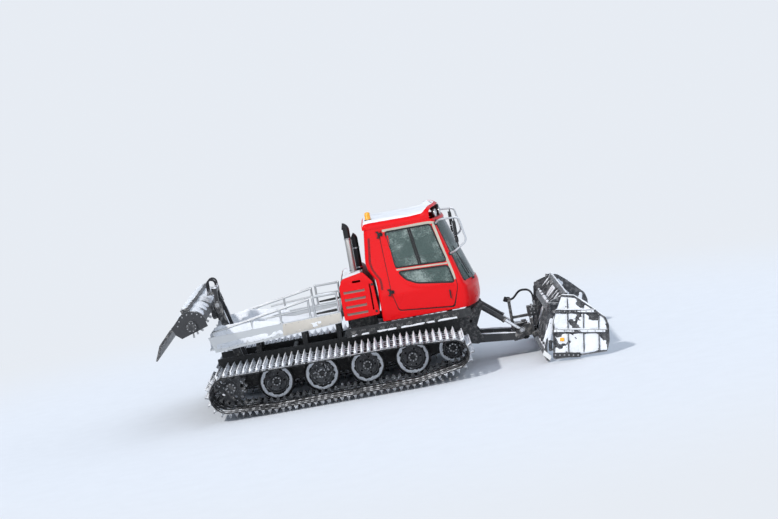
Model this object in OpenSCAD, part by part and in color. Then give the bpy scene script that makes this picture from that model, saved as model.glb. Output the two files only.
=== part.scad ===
// Tracked snow groomer with an all-way front blade and a raised rear tiller.
// Millimetres. +X is forward, +Y is the left side, +Z is up.
// The origin is on the ground below the middle of the machine.

/* [Running gear] */
// Where the front road wheel stands along the machine
front_wheel_x = 475; // [455:1:495]
// Distance from one road wheel to the next
wheel_pitch = 780; // [740:5:800]
// Outer radius of a road wheel's tyre
tyre_r = 310; // [290:1:320]
// Width of a tyre
tyre_w = 200; // [160:1:220]
// Radius of a wheel's rim
rim_r = 190; // [150:1:210]
// Distance from the middle of the machine to the middle of a wheel
wheel_y = 1050; // [1030:1:1100]
// Radius of the tension wheel in front
idler_r = 225; // [210:1:235]
// Distance of the tension wheel ahead of the front road wheel
idler_dx = 699; // [680:1:710]
// Height of the tension wheel's axle
idler_z = 452; // [440:1:470]
// Radius of the drive sprocket over its teeth
sprocket_r = 285; // [270:1:290]
// Height of the drive sprocket's axle
sprocket_z = 445; // [435:1:450]
// Teeth on a sprocket
sprocket_teeth = 15; // [11:1:19]

/* [Track] */
// Thickness of the rubber belts
belt_t = 20; // [16:1:24]
// Height of a cross bar over the belts
bar_h = 85; // [70:1:90]
// Number of cross bars on one track
bar_n = 84; // [76:1:88]
// Length of a cross bar's foot along the belt
bar_foot = 64; // [54:1:70]
// Length of a cross bar's edge along the belt
bar_edge = 22; // [14:1:30]
// Distance from the middle of the machine to a track's inner edge
track_in = 700; // [680:1:720]
// Distance from the middle of the machine to a track's outer edge
track_out = 2080; // [1990:1:2100]

/* [Frame] */
// Half the width of the tub between the tracks
tub_half_w = 500; // [480:1:520]
// Height of the tub's belly above the ground
tub_bottom = 330; // [310:1:350]
// Height of the tub's upper edge
tub_top = 880; // [860:1:900]
// Thickness of the tub's plates
tub_t = 16; // [10:1:24]

/* [Cab] */
// Back of the cab
cab_rear_x = 90; // [80:1:110]
// Front of the nose on the middle line
nose_x = 1823; // [1800:1:1840]
// Underside of the cab
cab_floor_z = 1080; // [1060:1:1100]
// Height where the nose ends and the windscreen starts
sill_z = 1500; // [1480:1:1520]
// Upper edge of the cab's walls, under the roof
cab_top_z = 2650; // [2620:1:2680]
// Half the width of the cab at the windscreen's sill
cab_half_w = 1010; // [980:1:1030]
// Half the width of the cab below the roof
cab_top_half_w = 876; // [850:1:900]
// Plan radius of the windscreen and the nose
front_r = 2080; // [1950:10:2300]
// How far the windscreen leans back
screen_lean = 19; // [17:0.5:21]
// Thickness of the cab's walls and doors
wall = 45; // [36:1:54]
// Thickness of glass
glass_t = 8; // [6:1:10]
// Gap round a door
door_gap = 11; // [10:1:14]

/* [Engine housing] */
// Back of the engine housing
housing_rear_x = -548; // [-570:1:-530]
// Half the width of the engine housing over its covers
housing_half_w = 985; // [960:1:1000]
// Thickness of a side cover
cover_t = 34; // [24:1:40]
// Number of wide louvres in a side cover
louvre_n = 4; // [3:1:5]
// Outer radius of an exhaust pipe
exhaust_r = 57; // [45:1:62]

/* [Load bed] */
// Front of the bed
bed_front_x = -590; // [-610:1:-585]
// Back of the bed's side plates
bed_rear_x = -2885; // [-2900:1:-2860]
// Half the width of the bed
bed_half_w = 1000; // [960:1:1020]
// Thickness of a bed plate
bed_t = 30; // [24:1:40]
// Outer radius of a rail's tube
rail_r = 21; // [16:1:26]

/* [Front tool] */
// Blade's width without its wings
blade_w = 3500; // [3300:10:3560]
// Blade's height
blade_h = 1106; // [1000:1:1150]
// Radius of the blade's curved plate
blade_r = 1500; // [1300:10:1800]
// How far the blade leans forward when parked
blade_lean = 8.4; // [8:0.1:9]
// Height of the cutting edge when parked
blade_z = 26; // [20:1:40]
// Back of the blade at its cutting edge
blade_x = 2690; // [2670:1:2720]
// Wing's reach past its hinge
wing_l = 1035; // [900:1:1080]
// How far a wing is folded forward when parked
wing_fold = 76; // [70:1:80]
// Lift frame's pivot along the machine
lift_pivot_x = 1655; // [1640:1:1670]
// Height of the lift frame's pivot
lift_pivot_z = 430; // [420:1:440]
// Radius of the pins in the tools
pin_r = 20; // [16:1:22]

/* [Rear tool] */
// Distance of the rear arms' pivot ahead of the sprocket's axle
arm_pivot_dx = 245; // [235:1:255]
// Height of the rear arms' pivot
arm_pivot_z = 560; // [550:1:570]
// Distance of the rotor's axis behind the rear arms' pivot, tiller raised
rotor_dx = 620; // [610:1:640]
// Height of the rotor's axis, tiller raised
rotor_z = 1676; // [1660:1:1700]
// Radius of the rotor over its teeth
rotor_r = 200; // [170:1:210]
// Half the width of the tiller
tiller_half_w = 2060; // [1900:10:2100]
// How far the raised tiller's front end stands up
tiller_tip = 17; // [15:0.5:19]
// Teeth in one row round the rotor
rotor_teeth = 6; // [4:1:8]

/* [Hidden] */
$fn = 48;
touch = 0.3;

// ---- plain helpers ----

// A side outline of [x, z] points, as thick as y0 to y1
module side_slab(pts, y0, y1) {
    translate([0, y1, 0])
        rotate([90, 0, 0])
            linear_extrude(y1 - y0) polygon(pts);
}

// A front outline of [y, z] points, from x0 to x1
module front_slab(pts, x0, x1) {
    translate([x0, 0, 0])
        rotate([90, 0, 90])
            linear_extrude(x1 - x0) polygon(pts);
}

// A box from one corner to the other
module block(a, b) {
    translate(a) cube(b - a);
}

// A round bar between two points
module bar(a, b, r) {
    d = b - a;
    l = norm(d);
    translate(a)
        rotate([0, acos(d[2] / l), atan2(d[1], d[0])])
            cylinder(r = r, h = l);
}

// A round bar across the machine at [x, z], from y0 to y1
module pin_y(at, r, y0, y1) {
    translate([at[0], y1, at[1]]) rotate([90, 0, 0]) cylinder(r = r, h = y1 - y0);
}

// A flat link in the side view between two [x, z] centres, with round ends
module link(p, q, rp, rq, y0, y1) {
    d = q - p;
    l = norm(d);
    a = atan2(d[1], d[0]);
    e = asin((rp - rq) / l);
    pts = [
        for (s = [1, -1])
            for (k = s > 0 ? [0, 1] : [1, 0])
                let (c = k == 0 ? p : q, r = k == 0 ? rp : rq, n = a + s * (90 - e))
                    [c[0] + r * cos(n), c[1] + r * sin(n)]
    ];
    union() {
        side_slab(pts, y0, y1);
        pin_y(p, rp, y0, y1);
        pin_y(q, rq, y0, y1);
    }
}

// The right side as drawn, or its mirror image on the left
module on_side(left) {
    if (left) mirror([0, 1, 0]) children();
    else children();
}

// A point turned about another in the side view, from x towards z
function turned(p, c, a) =
    let (d = p - c)
        [c[0] + d[0] * cos(a) - d[1] * sin(a), c[1] + d[0] * sin(a) + d[1] * cos(a)];

// ---- running gear ----

wheel_z = bar_h + belt_t + touch + tyre_r;
wheels = [for (i = [0:3]) [front_wheel_x - i * wheel_pitch, wheel_z]];
rear_wheel_x = front_wheel_x - 3 * wheel_pitch;
sprocket_x = rear_wheel_x - wheel_pitch;
idler_x = front_wheel_x + idler_dx;
arm_pivot_x = sprocket_x + arm_pivot_dx;
rotor_x = arm_pivot_x - rotor_dx;

// The track's inner loop runs round these circles: [x, z, radius]
loop = [
    [sprocket_x, sprocket_z, sprocket_r + touch],
    [rear_wheel_x, wheel_z, tyre_r + touch],
    [front_wheel_x, wheel_z, tyre_r + touch],
    [idler_x, idler_z, idler_r + touch],
    [front_wheel_x, wheel_z, tyre_r + touch]
];
loop_n = len(loop);
function next(k) = (k + 1) % loop_n;
function prev(k) = (k + loop_n - 1) % loop_n;
function step_d(k) = [loop[next(k)][0] - loop[k][0], loop[next(k)][1] - loop[k][1]];
function step_r(k) = loop[k][2] - loop[next(k)][2];
// Outward direction of the straight run that leaves circle k
normal = [
    for (k = [0:loop_n - 1])
        let (d = step_d(k)) atan2(d[1], d[0]) - 90 + asin(step_r(k) / norm(d))
];
sweep = [
    for (k = [0:loop_n - 1])
        let (s = normal[k] - normal[prev(k)]) s - 360 * floor(s / 360)
];
arc_len = [for (k = [0:loop_n - 1]) loop[k][2] * sweep[k] * PI / 180];
run_len = [for (k = [0:loop_n - 1]) sqrt(pow(norm(step_d(k)), 2) - pow(step_r(k), 2))];
function total(v, n) = n <= 0 ? 0 : v[n - 1] + total(v, n - 1);
loop_len = total(arc_len, loop_n) + total(run_len, loop_n);

// Place along the loop: [x, z, outward direction]
function along(s, k = 0) =
    s <= arc_len[k] ?
        let (n = normal[prev(k)] + s / loop[k][2] * 180 / PI)
            [loop[k][0] + loop[k][2] * cos(n), loop[k][1] + loop[k][2] * sin(n), n] :
    s <= arc_len[k] + run_len[k] ?
        let (n = normal[k], t = s - arc_len[k])
            [
                loop[k][0] + loop[k][2] * cos(n) - t * sin(n),
                loop[k][1] + loop[k][2] * sin(n) + t * cos(n),
                n
            ] :
    along(s - arc_len[k] - run_len[k], next(k));
function out(p, h) = [p[0] + h * cos(p[2]), p[1] + h * sin(p[2])];
function lap(s) = s - loop_len * floor(s / loop_len);

// Corners of one cross bar: [share of its half length, height over the belt's inside]
bar_corners = [[-bar_foot / 2, belt_t], [-bar_edge / 2, belt_t + bar_h],
               [bar_edge / 2, belt_t + bar_h], [bar_foot / 2, belt_t]];
track_outer = [
    for (i = [0:bar_n - 1])
        for (c = bar_corners)
            let (mid = along(lap(i * loop_len / bar_n))) out(along(lap(i * loop_len / bar_n + c[0])), c[1])
];
arc_step = 6;
track_inner = [
    for (k = [0:loop_n - 1])
        let (n = max(1, ceil(sweep[k] / arc_step)))
            for (i = [0:n])
                let (a = normal[prev(k)] + sweep[k] * i / n)
                    [loop[k][0] + loop[k][2] * cos(a), loop[k][1] + loop[k][2] * sin(a)]
];

module track(left) {
    color("dimgray")
        on_side(left)
            translate([0, -track_in, 0])
                rotate([90, 0, 0])
                    linear_extrude(track_out - track_in)
                        difference() {
                            polygon(track_outer);
                            polygon(track_inner);
                        }
}
module track_right() { track(false); }
module track_left() { track(true); }

// A tyre's section is [radius, offset across]: flat tread, short shoulders
module tyre(r) {
    w = tyre_w / 2;
    inner = min(rim_r, r - 70);
    rotate([90, 0, 0])
        rotate_extrude($fn = 40)
            polygon([[inner, -w + 25], [r - 30, -w], [r, -w + 40],
                     [r, w - 40], [r - 30, w], [inner, w - 25]]);
}
module tyres() {
    color("black")
        for (s = [0, 1])
            on_side(s == 1) {
                for (p = wheels) translate([p[0], -wheel_y, p[1]]) tyre(tyre_r);
                translate([idler_x, -wheel_y, idler_z]) tyre(idler_r);
            }
}

// A dished disc with its hub, bored for the axle
module disc(r) {
    w = tyre_w / 2 - 25;
    rotate([90, 0, 0])
        difference() {
            rotate_extrude()
                polygon([[0, -w], [r, -w], [r, w], [r - 12, w],
                         [r - 22, w - 45], [90, w - 60], [80, w + 10], [0, w + 10]]);
            translate([0, 0, -w - 1]) cylinder(r = axle_r + 0.05, h = w);
            for (i = [0:4])
                rotate([0, 0, i * 72])
                    translate([(r + 85) / 2 - 4, 0, -w - 1]) cylinder(r = 18, h = 3 * w, $fn = 24);
        }
}
axle_r = 38;
module wheel_discs() {
    color("silver")
        for (s = [0, 1])
            on_side(s == 1) {
                for (p = wheels)
                    translate([p[0], -wheel_y, p[1]]) disc(rim_r - touch);
                translate([idler_x, -wheel_y, idler_z]) disc(min(rim_r, idler_r - 70) - touch);
            }
}

// Trailing arms between the tub and the axles
arm_y0 = 570;
arm_y1 = 650;
arm_back = 250;
arm_lift = 120;
module swing_arms() {
    color("dimgray")
        for (s = [0, 1])
            on_side(s == 1)
                for (p = concat(wheels, [[idler_x, idler_z]])) {
                    root = [p[0] - arm_back, p[1] + arm_lift];
                    union() {
                        link(root, p, 75, 60, -arm_y1, -arm_y0);
                        pin_y(root, 55, -arm_y1, -tub_half_w - touch);
                        pin_y(p, axle_r, -wheel_y + 2, -arm_y0);
                    }
                }
}

// Drive drum with two toothed rings
ring_root = sprocket_r - 45;
ring_y = [[960, 1000], [1100, 1140]];
tooth_half = 360 / sprocket_teeth / 2;
// Tooth corners: [share of the half pitch, radius]
tooth_top = sprocket_r - 1;
tooth = [[-0.62, ring_root], [-0.3, tooth_top], [0.3, tooth_top], [0.62, ring_root]];
ring_pts = [
    for (i = [0:sprocket_teeth - 1])
        for (c = tooth)
            let (a = (2 * i + c[0]) * tooth_half) [c[1] * cos(a), c[1] * sin(a)]
];
module sprocket(left) {
    color("silver")
        on_side(left)
            translate([sprocket_x, 0, sprocket_z])
                rotate([90, 0, 0])
                    union() {
                        translate([0, 0, tub_half_w + touch]) cylinder(r = 130, h = 1160 - tub_half_w);
                        for (y = ring_y)
                            translate([0, 0, y[0]])
                                linear_extrude(y[1] - y[0])
                                    difference() {
                                        polygon(ring_pts);
                                        for (i = [0:4])
                                            rotate(i * 72) translate([185, 0]) circle(r = 32, $fn = 24);
                                    }
                        translate([0, 0, 1160 - 2]) cylinder(r = 95, h = 62);
                    }
}
module sprockets() {
    sprocket(false);
    sprocket(true);
}

// ---- frame ----

// The tub in side view: [x, z]
tub_front_x = 1330;
cheek_rear_x = sprocket_x - 190;
tub_out = [
    [cheek_rear_x, sprocket_z - 60], [cheek_rear_x + 130, tub_bottom],
    [tub_front_x - 200, tub_bottom], [tub_front_x, tub_bottom + 110],
    [tub_front_x, tub_top], [cheek_rear_x, tub_top]
];
tub_open_x = arm_pivot_x + 190;
cyl_y = 365;
fork_in = 53;
fork_t = 27;
nose_plate_y = [[cyl_y - fork_in - fork_t, cyl_y - fork_in], [cyl_y + fork_in, cyl_y + fork_in + fork_t]];
fork_y = [nose_plate_y[0][0], nose_plate_y[1][1]];
// Bracket for the lift frame's pivot and the cylinders' upper pins: [x, z]
cyl_base = [1758, 985];
nose_plate = [
    [tub_front_x - 30, tub_bottom + 95], [lift_pivot_x - 40, lift_pivot_z - 75],
    [lift_pivot_x + 55, lift_pivot_z - 55], [lift_pivot_x + 75, lift_pivot_z + 40],
    [lift_pivot_x - 20, lift_pivot_z + 200], [cyl_base[0] + 10, cyl_base[1] - 70],
    [cyl_base[0] + 60, cyl_base[1] - 30], [cyl_base[0] + 55, cyl_base[1] + 40],
    [cyl_base[0] - 20, cyl_base[1] + 60], [tub_front_x + 150, tub_top],
    [tub_front_x - 30, tub_top]
];
tow_at = [tub_front_x + 230, tub_top - 120];
tow_r = 26;

module chassis_frame() {
    color("dimgray")
        difference() {
            union() {
                difference() {
                    side_slab(tub_out, -tub_half_w, tub_half_w);
                    // the open inside of the tub
                    block([tub_open_x + 40, -tub_half_w + tub_t, tub_bottom + tub_t],
                          [tub_front_x - 220, tub_half_w - tub_t, tub_top + 1]);
                    // the open back between the cheeks
                    block([cheek_rear_x - 1, -tub_half_w + tub_t + 24, tub_bottom - 1],
                          [tub_open_x + 24, tub_half_w - tub_t - 24, tub_top + 1]);
                }
                for (s = [-1, 1])
                    for (y = nose_plate_y)
                        side_slab(nose_plate, min(s * y[0], s * y[1]), max(s * y[0], s * y[1]));
                // pins of the lift frame, the cylinders and the rear arms
                for (s = [-1, 1]) {
                    pin_y([lift_pivot_x, lift_pivot_z], pin_r + 8, s > 0 ? fork_y[0] : -fork_y[1], s > 0 ? fork_y[1] : -fork_y[0]);
                    pin_y(cyl_base, pin_r, s > 0 ? fork_y[0] : -fork_y[1], s > 0 ? fork_y[1] : -fork_y[0]);
                    pin_y([arm_pivot_x, arm_pivot_z], pin_r + 10,
                          s > 0 ? arm_in - 30 : -tub_half_w + 10, s > 0 ? tub_half_w - 10 : -arm_in + 30);
                    // inner hanger of the rear arms
                    link([arm_pivot_x, arm_pivot_z], [tub_open_x + 30, arm_pivot_z], 60, 60,
                         s > 0 ? arm_in - 40 : -arm_in + 10, s > 0 ? arm_in - 10 : -arm_in + 40);
                }
                // base of the rear cylinder inside the tub
                for (s = [-1, 1])
                    side_slab([[rear_base[0] - 60, rear_base[1] + 45], [rear_base[0] - 60, rear_base[1] - 45],
                               [rear_base[0] + 80, tub_bottom + 5], [rear_base[0] + 320, tub_bottom + 5],
                               [rear_base[0] + 40, rear_base[1] + 55]],
                              s > 0 ? 42 : -66, s > 0 ? 66 : -42);
                pin_y(rear_base, pin_r, -60, 60);
                // posts under the cab and the engine housing: [x, half width]
                for (x = post_x)
                    for (s = [-1, 1])
                        block([x - 40, s > 0 ? 380 : -tub_half_w + 4, tub_top - 40],
                              [x + 40, s > 0 ? tub_half_w - 4 : -380, cab_floor_z - touch]);
                // posts under the bed
                for (x = bed_post_x)
                    for (s = [-1, 1])
                        block([x - 40, s > 0 ? tub_half_w - 90 : -tub_half_w + 10, tub_top - 40],
                              [x + 40, s > 0 ? tub_half_w - 10 : -tub_half_w + 90, bed_floor(x - 40) - bed_t - touch]);
                // cross tubes
                for (x = [-1500, -620, 700])
                    pin_y([x, tub_top - 60], 40, -tub_half_w + 2, tub_half_w - 2);
            }
            // passage of the rear cylinder through the bulkhead
            block([tub_open_x - 1, -85, tub_bottom + 60], [tub_open_x + 60, 85, tub_top + 1]);
            // tow bores in the outer nose plates
            for (s = [-1, 1])
                pin_y(tow_at, tow_r, s > 0 ? nose_plate_y[1][0] - 1 : -nose_plate_y[1][1] - 1,
                      s > 0 ? nose_plate_y[1][1] + 1 : -nose_plate_y[1][0] + 1);
        }
}
post_x = [cab_rear_x + 80, tub_front_x - 90];
bed_post_x = [bed_rear_x + 785, -1300, bed_front_x - 110];

engine_x = [housing_rear_x + 78, -20];
engine_half_w = 330;
module engine_block() {
    color("gray")
        block([engine_x[0], -engine_half_w, tub_bottom + tub_t + touch],
              [engine_x[1], engine_half_w, 1560]);
}

// ---- cab ----

function half_w(z) =
    z < sill_z ? cab_half_w - (sill_z - z) * 0.06 :
    cab_half_w - (z - sill_z) * (cab_half_w - cab_top_half_w) / (cab_top_z - sill_z);
lean_x = tan(screen_lean);
shoulder_z = 1801;
neck_z = 2099;
neck_x = 130;
roof_rear_dx = 62;
// Back and floor of the cab in side view, moved in by w
function cab_side(w) = [
    [cab_rear_x + w, cab_floor_z + w], [cab_rear_x + w, shoulder_z],
    [cab_rear_x - 106 + w, shoulder_z + 173], [cab_rear_x - neck_x + w, neck_z],
    [cab_rear_x - roof_rear_dx + w, cab_top_z - (w > 0 ? 0 : 0)],
    [2100, cab_top_z], [2100, cab_floor_z + w]
];
// Walls of the cab in front view, moved in by w
function cab_front(w) = [
    [half_w(cab_floor_z - 20) - w, cab_floor_z - 20], [half_w(sill_z) - w, sill_z],
    [half_w(cab_top_z + 20) - w, cab_top_z + 20], [-half_w(cab_top_z + 20) + w, cab_top_z + 20],
    [-half_w(sill_z) + w, sill_z], [-half_w(cab_floor_z - 20) + w, cab_floor_z - 20]
];
module cab_body(w) {
    intersection() {
        side_slab(cab_side(w), -1200, 1200);
        front_slab(cab_front(w), -200, 2100);
        translate([nose_x - front_r, 0, 900]) cylinder(r = front_r - w, h = cab_top_z, $fn = 360);
        translate([nose_x - 20, 0, sill_z])
            rotate([0, -screen_lean, 0])
                translate([-front_r, 0, -900]) cylinder(r = front_r - w, h = cab_top_z + 700, $fn = 360);
    }
}
// X of the windscreen's outside at a given place, moved in by w
function screen_x(y, z) =
    nose_x - 20 - (z - sill_z) * lean_x - (front_r - sqrt(front_r * front_r - y * y)) / cos(screen_lean);

// Heights that keep their distance from the roof's edge
door_top_z = cab_top_z - 36;
pane_top_z = cab_top_z - 80;
rear_pane_z = cab_top_z - 90;
hinge_top_z = cab_top_z - 109;
// Door outline in side view: [x, z], moved in by g
door_hinge_x = 286;
function door_outline(g) = [
    [door_hinge_x + 20 + g, 1552], [door_hinge_x - 16 + g, hinge_top_z],
    [door_hinge_x + 40 + g, door_top_z - g], [1190 - g, door_top_z - g], [1432 - g, 1600], [1440 - g, 1450], [1335 - 1.7 * g, 1110 + 2.4 * g],
    [door_hinge_x + 95 + g, 1212 + 1.7 * g]
];
// Windows in a door: upper and lower pane
function upper_pane(g) = [
    [372 + g, pane_top_z - g], [1160 - g, pane_top_z - g], [1322 - g, 1905 + g], [446 + g, 1940 + g]
];
function lower_pane(g) = [
    [478 + g, 1872 - g], [1335 - g, 1836 - g], [1398 - g, 1530 + g], [760 + g, 1625 + g],
    [580 + g, 1722 + g]
];
screen_low = sill_z + 25;
screen_high = cab_top_z - 45;
pillar = 78;
function screen_outline(g) = [
    [half_w(screen_low) - pillar - g, screen_low + g], [half_w(screen_high) - pillar - g, screen_high - g],
    [-half_w(screen_high) + pillar + g, screen_high - g], [-half_w(screen_low) + pillar + g, screen_low + g]
];
function rear_outline(g) = [
    [700 - g, 2160 + g], [640 - g, rear_pane_z - g], [-640 + g, rear_pane_z - g], [-700 + g, 2160 + g]
];

// A door's hinge runs along its rear edge, just outside the wall
hinge_out = 26;
hinge_low = [door_hinge_x, -half_w(1552) - hinge_out, 1552];
hinge_high = [door_hinge_x - 27, -half_w(hinge_top_z) - hinge_out, hinge_top_z];
hinge_dir = (hinge_high - hinge_low) / norm(hinge_high - hinge_low);
hinge_knuckle = 34;
hinge_r = 15;
hinge_pin_r = 8;

module cab_shell() {
    color("red")
        difference() {
            union() {
                difference() {
                    cab_body(0);
                    cab_body(wall);
                    for (s = [0, 1])
                        on_side(s == 1) side_slab(door_outline(0), -1300, -700);
                    front_slab(screen_outline(0), 900, 2200);
                    front_slab(rear_outline(0), -400, 300);
                }
                // pins and brackets of the door hinges
                for (s = [0, 1])
                    on_side(s == 1)
                        for (p = [hinge_low, hinge_high]) {
                            bar(p - hinge_dir * (hinge_knuckle + 22), p + hinge_dir * (hinge_knuckle + 22), hinge_pin_r);
                            for (e = [-1, 1]) {
                                c = p + hinge_dir * e * (hinge_knuckle + 14);
                                bar(c - hinge_dir * 12, c + hinge_dir * 12, hinge_r);
                                block(c + [-34, 4, -10], c + [2, 40, 10]);
                            }
                        }
            }
        }
}

module windscreen() {
    color("darkslategray", 0.5)
        intersection() {
            difference() {
                cab_body(10);
                cab_body(10 + glass_t);
            }
            front_slab(screen_outline(touch), 900, 2200);
        }
}

module rear_window() {
    color("darkslategray", 0.5)
        intersection() {
            difference() {
                cab_body(10);
                cab_body(10 + glass_t);
            }
            front_slab(rear_outline(touch), -400, 300);
        }
}

module door(left) {
    color("red")
        on_side(left)
            difference() {
                union() {
                    intersection() {
                        difference() {
                            cab_body(0);
                            cab_body(wall);
                        }
                        side_slab(door_outline(door_gap), -1300, -700);
                    }
                    for (p = [hinge_low, hinge_high]) {
                        bar(p - hinge_dir * hinge_knuckle, p + hinge_dir * hinge_knuckle, hinge_r);
                        block(p + [-3, 4, -hinge_knuckle + 6], p + [60, hinge_out - 6, hinge_knuckle - 6]);
                        block(p + [44, 4, -hinge_knuckle + 6], p + [72, hinge_out + 12, hinge_knuckle - 6]);
                    }
                    // handle
                    bar([1290, -half_w(1420) - 22, 1420], [1290, -half_w(1280) - 22, 1280], 11);
                    for (z = [1410, 1290])
                        bar([1290, -half_w(z) - 22, z], [1290, -half_w(z) + 6, z], 9);
                }
                side_slab(upper_pane(0), -1300, -700);
                side_slab(lower_pane(0), -1300, -700);
                for (p = [hinge_low, hinge_high])
                    bar(p - hinge_dir * 80, p + hinge_dir * 80, hinge_pin_r + 0.06);
            }
}
module door_right() { door(false); }
module door_left() { door(true); }

module door_glass(left) {
    color("darkslategray", 0.5)
        on_side(left)
            intersection() {
                difference() {
                    cab_body(14);
                    cab_body(14 + glass_t);
                }
                union() {
                    side_slab(upper_pane(touch), -1300, -700);
                    side_slab(lower_pane(touch), -1300, -700);
                }
            }
}
module door_glass_right() { door_glass(false); }
module door_glass_left() { door_glass(true); }

roof_t = 130;
visor_x = 1356;
module cab_roof() {
    color("red")
        intersection() {
            side_slab([
                [cab_rear_x - roof_rear_dx - 25, cab_top_z + touch],
                [visor_x - 30, cab_top_z + touch], [visor_x, cab_top_z + 85],
                [visor_x - 24, cab_top_z + 226], [visor_x - 62, cab_top_z + 226],
                [visor_x - 92, cab_top_z + roof_t], [cab_rear_x + 60, cab_top_z + roof_t + 20],
                [cab_rear_x - roof_rear_dx - 25, cab_top_z + roof_t - 45]
            ], -1000, 1000);
            front_slab([
                [cab_top_half_w + 12, cab_top_z - 5], [cab_top_half_w + 6, cab_top_z + 60],
                [cab_top_half_w - 70, cab_top_z + 240], [-cab_top_half_w + 70, cab_top_z + 240],
                [-cab_top_half_w - 6, cab_top_z + 60], [-cab_top_half_w - 12, cab_top_z - 5]
            ], -300, 1500);
            translate([visor_x - front_r, 0, cab_top_z - 10]) cylinder(r = front_r, h = 300, $fn = 360);
        }
}

cabin_floor = cab_floor_z + wall;
module cab_console() {
    color("black") {
        union() {
            block([1180, -560, cabin_floor + touch], [1480, 560, 1420]);
            side_slab([[1180, 1400], [1480, 1400], [1560, 1560], [1240, 1620]], -620, 620);
            block([320, -130, cabin_floor + touch], [1190, 130, 1560]);
        }
    }
}

// Seats: [middle y]
seat_y = [-470, 470];
module seats() {
    color("dimgray")
        for (y = seat_y)
            translate([0, y, 0])
                union() {
                    block([430, -150, cabin_floor + touch], [780, 150, 1400]);
                    side_slab([[360, 1395], [880, 1395], [900, 1500], [840, 1540], [380, 1520]], -250, 250);
                    side_slab([[350, 1500], [440, 1500], [330, 2120], [250, 2120], [245, 2000]], -240, 240);
                    side_slab([[262, 2110], [322, 2110], [300, 2290], [236, 2290]], -130, 130);
                }
}

wheel_at = [1130, 470, 1800];
module steering_wheel() {
    color("black")
        translate(wheel_at)
            rotate([0, -28, 0])
                union() {
                    rotate_extrude() translate([175, 0]) circle(r = 14, $fn = 20);
                    cylinder(r = 45, h = 30, center = true);
                    for (i = [0:2]) rotate([0, 90, i * 120]) cylinder(r = 9, h = 170);
                    translate([0, 0, -245]) cylinder(r = 24, h = 240);
                }
}

// ---- engine housing ----

// Housing in side view: [x, z]
housing_side = [
    [housing_rear_x, 1198], [housing_rear_x, 1762], [housing_rear_x + 60, 1905],
    [-117, 1975], [30, 1782], [62, 1215]
];
function housing_in(g) = [
    [housing_rear_x + g, 1198 + g], [housing_rear_x + g, 1762 - g * 0.3], [housing_rear_x + 60 + g * 0.8, 1905 - g],
    [-117 - g * 0.3, 1975 - g], [30 - g, 1782 - g * 0.4], [62 - g, 1215 + g]
];
module engine_housing() {
    color("black")
        union() {
            difference() {
                side_slab(housing_in(4), -housing_half_w + cover_t + 16, housing_half_w - cover_t - 16);
                side_slab(housing_in(60), -housing_half_w - 1, housing_half_w + 1);
                // way for the engine through the floor
                block([engine_x[0] - 12, -engine_half_w - 12, 1190], [engine_x[1] + 12, engine_half_w + 12, 1290]);
            }
            // feet on the tub
            for (s = [-1, 1])
                block([housing_rear_x + 60, s > 0 ? tub_half_w - 60 : -tub_half_w + 2, tub_top + touch],
                      [-60, s > 0 ? tub_half_w - 2 : -tub_half_w + 60, 1230]);
            // hinge pins of the covers
            for (s = [0, 1])
                on_side(s == 1)
                    for (z = cover_hinge_z) {
                        bar([cover_hinge_x, cover_hinge_y, z - 46], [cover_hinge_x, cover_hinge_y, z + 46], 7);
                        for (e = [-1, 1])
                            for (b = [[12, -8], [34, cover_t + 5]])
                                block([cover_hinge_x - 10, cover_hinge_y + b[1], z + e * 40 - 8],
                                      [cover_hinge_x + b[0], cover_hinge_y + cover_t + 40, z + e * 40 + 8]);
                    }
        }
}
cover_hinge_x = housing_rear_x - 16;
cover_hinge_y = -housing_half_w + 12;
cover_hinge_z = [1330, 1650];
cover_slots_x = [housing_rear_x + 58, -130];
module side_cover(left) {
    color("red")
        on_side(left)
            difference() {
                union() {
                    side_slab(housing_in(0), -housing_half_w, -housing_half_w + cover_t);
                    for (z = cover_hinge_z) {
                        translate([cover_hinge_x, cover_hinge_y, z - 30]) cylinder(r = 12, h = 60);
                        block([cover_hinge_x, cover_hinge_y - 8, z - 28],
                              [housing_rear_x + 30, cover_hinge_y + 8, z + 28]);
                    }
                }
                for (i = [0:louvre_n - 1])
                    block([cover_slots_x[0], -housing_half_w - 1, 1700 - i * 124 - 52],
                          [cover_slots_x[1], -housing_half_w + cover_t + 1, 1700 - i * 124]);
                block([-315, -housing_half_w - 1, 1812], [-175, -housing_half_w + cover_t + 1, 1850]);
                block([-45, -housing_half_w - 1, 1310], [-20, -housing_half_w + cover_t + 1, 1760]);
                for (z = cover_hinge_z)
                    translate([cover_hinge_x, cover_hinge_y, z - 40]) cylinder(r = 7.06, h = 80);
            }
}
module side_cover_right() { side_cover(false); }
module side_cover_left() { side_cover(true); }

// Exhaust pipes: [x, y, foot height, height where the bend starts, bend angle]
pipes = [[-272, -520, 1944, 2690, 80], [-162, -330, 1965, 2500, 60]];
bend_r = 75;
pipe_t = 4;
module pipe_ring() {
    difference() {
        circle(r = exhaust_r);
        circle(r = exhaust_r - pipe_t);
    }
}
module exhaust_pipes() {
    color("silver")
        for (p = pipes)
            translate([p[0], p[1], 0])
                union() {
                    translate([0, 0, p[2]]) linear_extrude(p[3] - p[2]) pipe_ring();
                    // the bend, from upright to the back
                    translate([-bend_r, 0, p[3]])
                        rotate([90, 0, 0])
                            rotate_extrude(angle = p[4]) translate([bend_r, 0]) pipe_ring();
                    translate([0, 0, p[2] + 40])
                        linear_extrude(22)
                            difference() {
                                circle(r = exhaust_r + 6);
                                circle(r = exhaust_r - 1);
                            }
                }
}

// ---- load bed ----

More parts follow.
